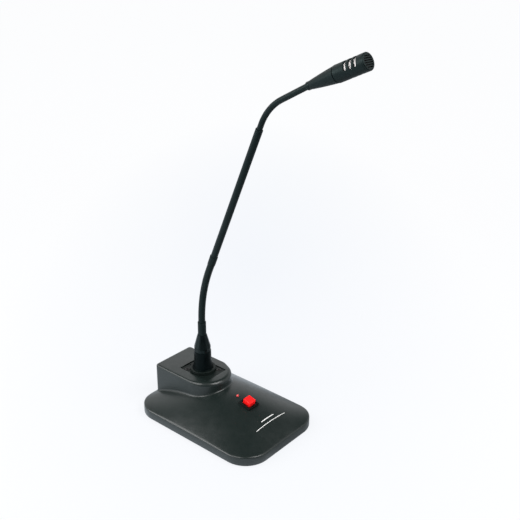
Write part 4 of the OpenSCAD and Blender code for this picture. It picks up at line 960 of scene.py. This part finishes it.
def stage():
    """Pale floor that keeps the shadow, with painted bluish shade around and behind the object; in
    reflections it is bluish and fades to the front, and to the right as painted shadow.
    """
    material = bpy.data.materials.new("floor")
    n = Nodes(material)
    n.shade(Base_Color=(0.86, 0.87, 0.89, 1), Roughness=0.9, Specular_IOR_Level=0.1)
    path = n.add("ShaderNodeLightPath")
    camera_ray, glossy_ray = path.outputs["Is Camera Ray"], path.outputs["Is Glossy Ray"]
    place = n.add("ShaderNodeTexCoord").outputs["Object"]

    def fade(direction, source, result):
        return n.remap(n.along(place, direction), source, result, "SMOOTHSTEP")

    # In reflections the glow fades towards the camera side, and to half towards the front right as painted
    # shadow beside the base.
    fades = n.combine("MULTIPLY", fade((-0.35, -0.94, 0), (0.12, 0.6), (1.0, 0.08)),
                      fade((0.6, -0.8, 0), (0.008, 0.035), (1.1, 0.5)))
    level = n.combine("MAXIMUM", camera_ray, n.combine("MULTIPLY", glossy_ray, fades))
    # Painted shade: the floor the camera sees turns darker and bluer in a broad patch around and behind the
    # object.
    shade_patch = n.add("ShaderNodeMapping", vector_type="TEXTURE", Location=(0.27, 0.235, 0),
                  Rotation=(0, 0, math.radians(40)), Scale=(0.9, 0.3, 1))
    n.link(place, shade_patch.inputs["Vector"])
    painted_shade = n.add("ShaderNodeTexGradient", gradient_type="SPHERICAL")
    n.link(shade_patch.outputs["Vector"], painted_shade.inputs["Vector"])
    seen = n.mix(painted_shade.outputs["Fac"], (0.985, 0.99, 1.0, 1), (0.90, 0.925, 0.97, 1))
    tint = n.mix(glossy_ray, seen, (0.86, 0.94, 1.02, 1))
    far = n.add("ShaderNodeVectorMath", operation="LENGTH")
    n.link(place, far.inputs[0])
    veil = n.remap(far.outputs["Value"], (0.2, 1.0), (0.9, 0.985))
    share = n.combine("MULTIPLY", n.combine("MAXIMUM", camera_ray, glossy_ray), veil)
    glow = n.add("ShaderNodeEmission")
    n.link(tint, glow.inputs["Color"])
    n.link(level, glow.inputs["Strength"])
    mix = n.add("ShaderNodeMixShader")
    n.link(share, mix.inputs[0])
    n.link(n.shader.outputs[0], mix.inputs[1])
    n.link(glow.outputs[0], mix.inputs[2])
    n.link(mix.outputs[0], n.tree.nodes["Material Output"].inputs["Surface"])
    mesh = bpy.data.meshes.new("floor")
    mesh.from_pydata([(x * FLOOR / 2, y * FLOOR / 2, 0) for x, y in ((-1, -1), (1, -1), (1, 1), (-1, 1))],
                     [], [(0, 1, 2, 3)])
    mesh.materials.append(material)
    floor = bpy.data.objects.new("floor", mesh)
    bpy.context.scene.collection.objects.link(floor)


def world():
    """Bright horizon under a dark ceiling, darker behind the camera."""
    studio = bpy.data.worlds.new("studio")
    bpy.context.scene.world = studio
    n = Nodes(studio, "Background")
    place = n.add("ShaderNodeTexCoord").outputs["Generated"]
    split, ramp = n.add("ShaderNodeSeparateXYZ"), n.add("ShaderNodeValToRGB")
    n.link(place, split.inputs[0])
    n.link(split.outputs["Z"], ramp.inputs[0])
    stops = ramp.color_ramp.elements
    stops[0].position, stops[1].position = 0.0, 1.0
    for position, level in ((0.0, 0.88), (0.35, 0.9), (0.5, 0.8), (0.64, 0.10), (1.0, 0.08)):
        stop = stops[0] if position == 0 else stops[-1] if position == 1 else stops.new(position)
        stop.color = (0.97 * level, 0.98 * level, level, 1)
    away = n.along(place, (0.574, 0.819, 0.0))
    n.link(ramp.outputs[0], n.shader.inputs["Color"])
    n.link(n.remap(away, (-0.95, -0.3), (0.05, 1.0), "SMOOTHSTEP"), n.shader.inputs["Strength"])


def softbox(name, azimuth, elevation, width, height, level):
    """Oblong light that shows at the given level in a mirror; angles in degrees, sizes in metres."""
    data = bpy.data.lights.new(name, "AREA")
    data.shape, data.size, data.size_y = "ELLIPSE", width, height
    data.energy = level * math.pi * math.pi * width * height / 4
    light = bpy.data.objects.new(name, data)
    around, up = math.radians(azimuth), math.radians(elevation)
    away = Vector((math.cos(around) * math.cos(up), math.sin(around) * math.cos(up), math.sin(up)))
    light.location = away * LIGHT_AWAY + Vector(LIGHT_AIM)
    light.rotation_mode = "QUATERNION"
    light.rotation_quaternion = (-away).to_track_quat("-Z", "Y")
    bpy.context.scene.collection.objects.link(light)


def camera():
    """The photo's camera."""
    data = bpy.data.cameras.new("camera")
    data.sensor_width, data.lens = SENSOR, SENSOR * FOCAL_PX / PICTURE_PX
    data.clip_start, data.clip_end = 0.01, 100
    yaw, pitch, roll = (math.radians(a) for a in CAMERA_TURNS)
    back = Vector((math.sin(yaw) * math.cos(pitch), -math.cos(yaw) * math.cos(pitch), math.sin(pitch)))
    right = (-back).cross(Vector((0, 0, 1))).normalized()
    up = right.cross(-back)
    right, up = (math.cos(roll) * right + math.sin(roll) * up, math.cos(roll) * up - math.sin(roll) * right)
    cam = bpy.data.objects.new("camera", data)
    place = to_row(CAMERA_AT)
    cam.matrix_world = Matrix([[right[i], up[i], back[i], place[i]] for i in range(3)] + [[0, 0, 0, 1]])
    bpy.context.scene.collection.objects.link(cam)
    bpy.context.scene.camera = cam


stage()
world()
softbox("key", 170, 50, 1.05, 1.05, 6.6)
softbox("left", 143, 22, 1.2, 1.1, 5.0)
softbox("rear", 70, 39, 2.6, 0.9, 0.8)
softbox("fill", 280, 50, 1.4, 1.2, 7.5)
camera()
bpy.context.scene.view_settings.view_transform = "Standard"
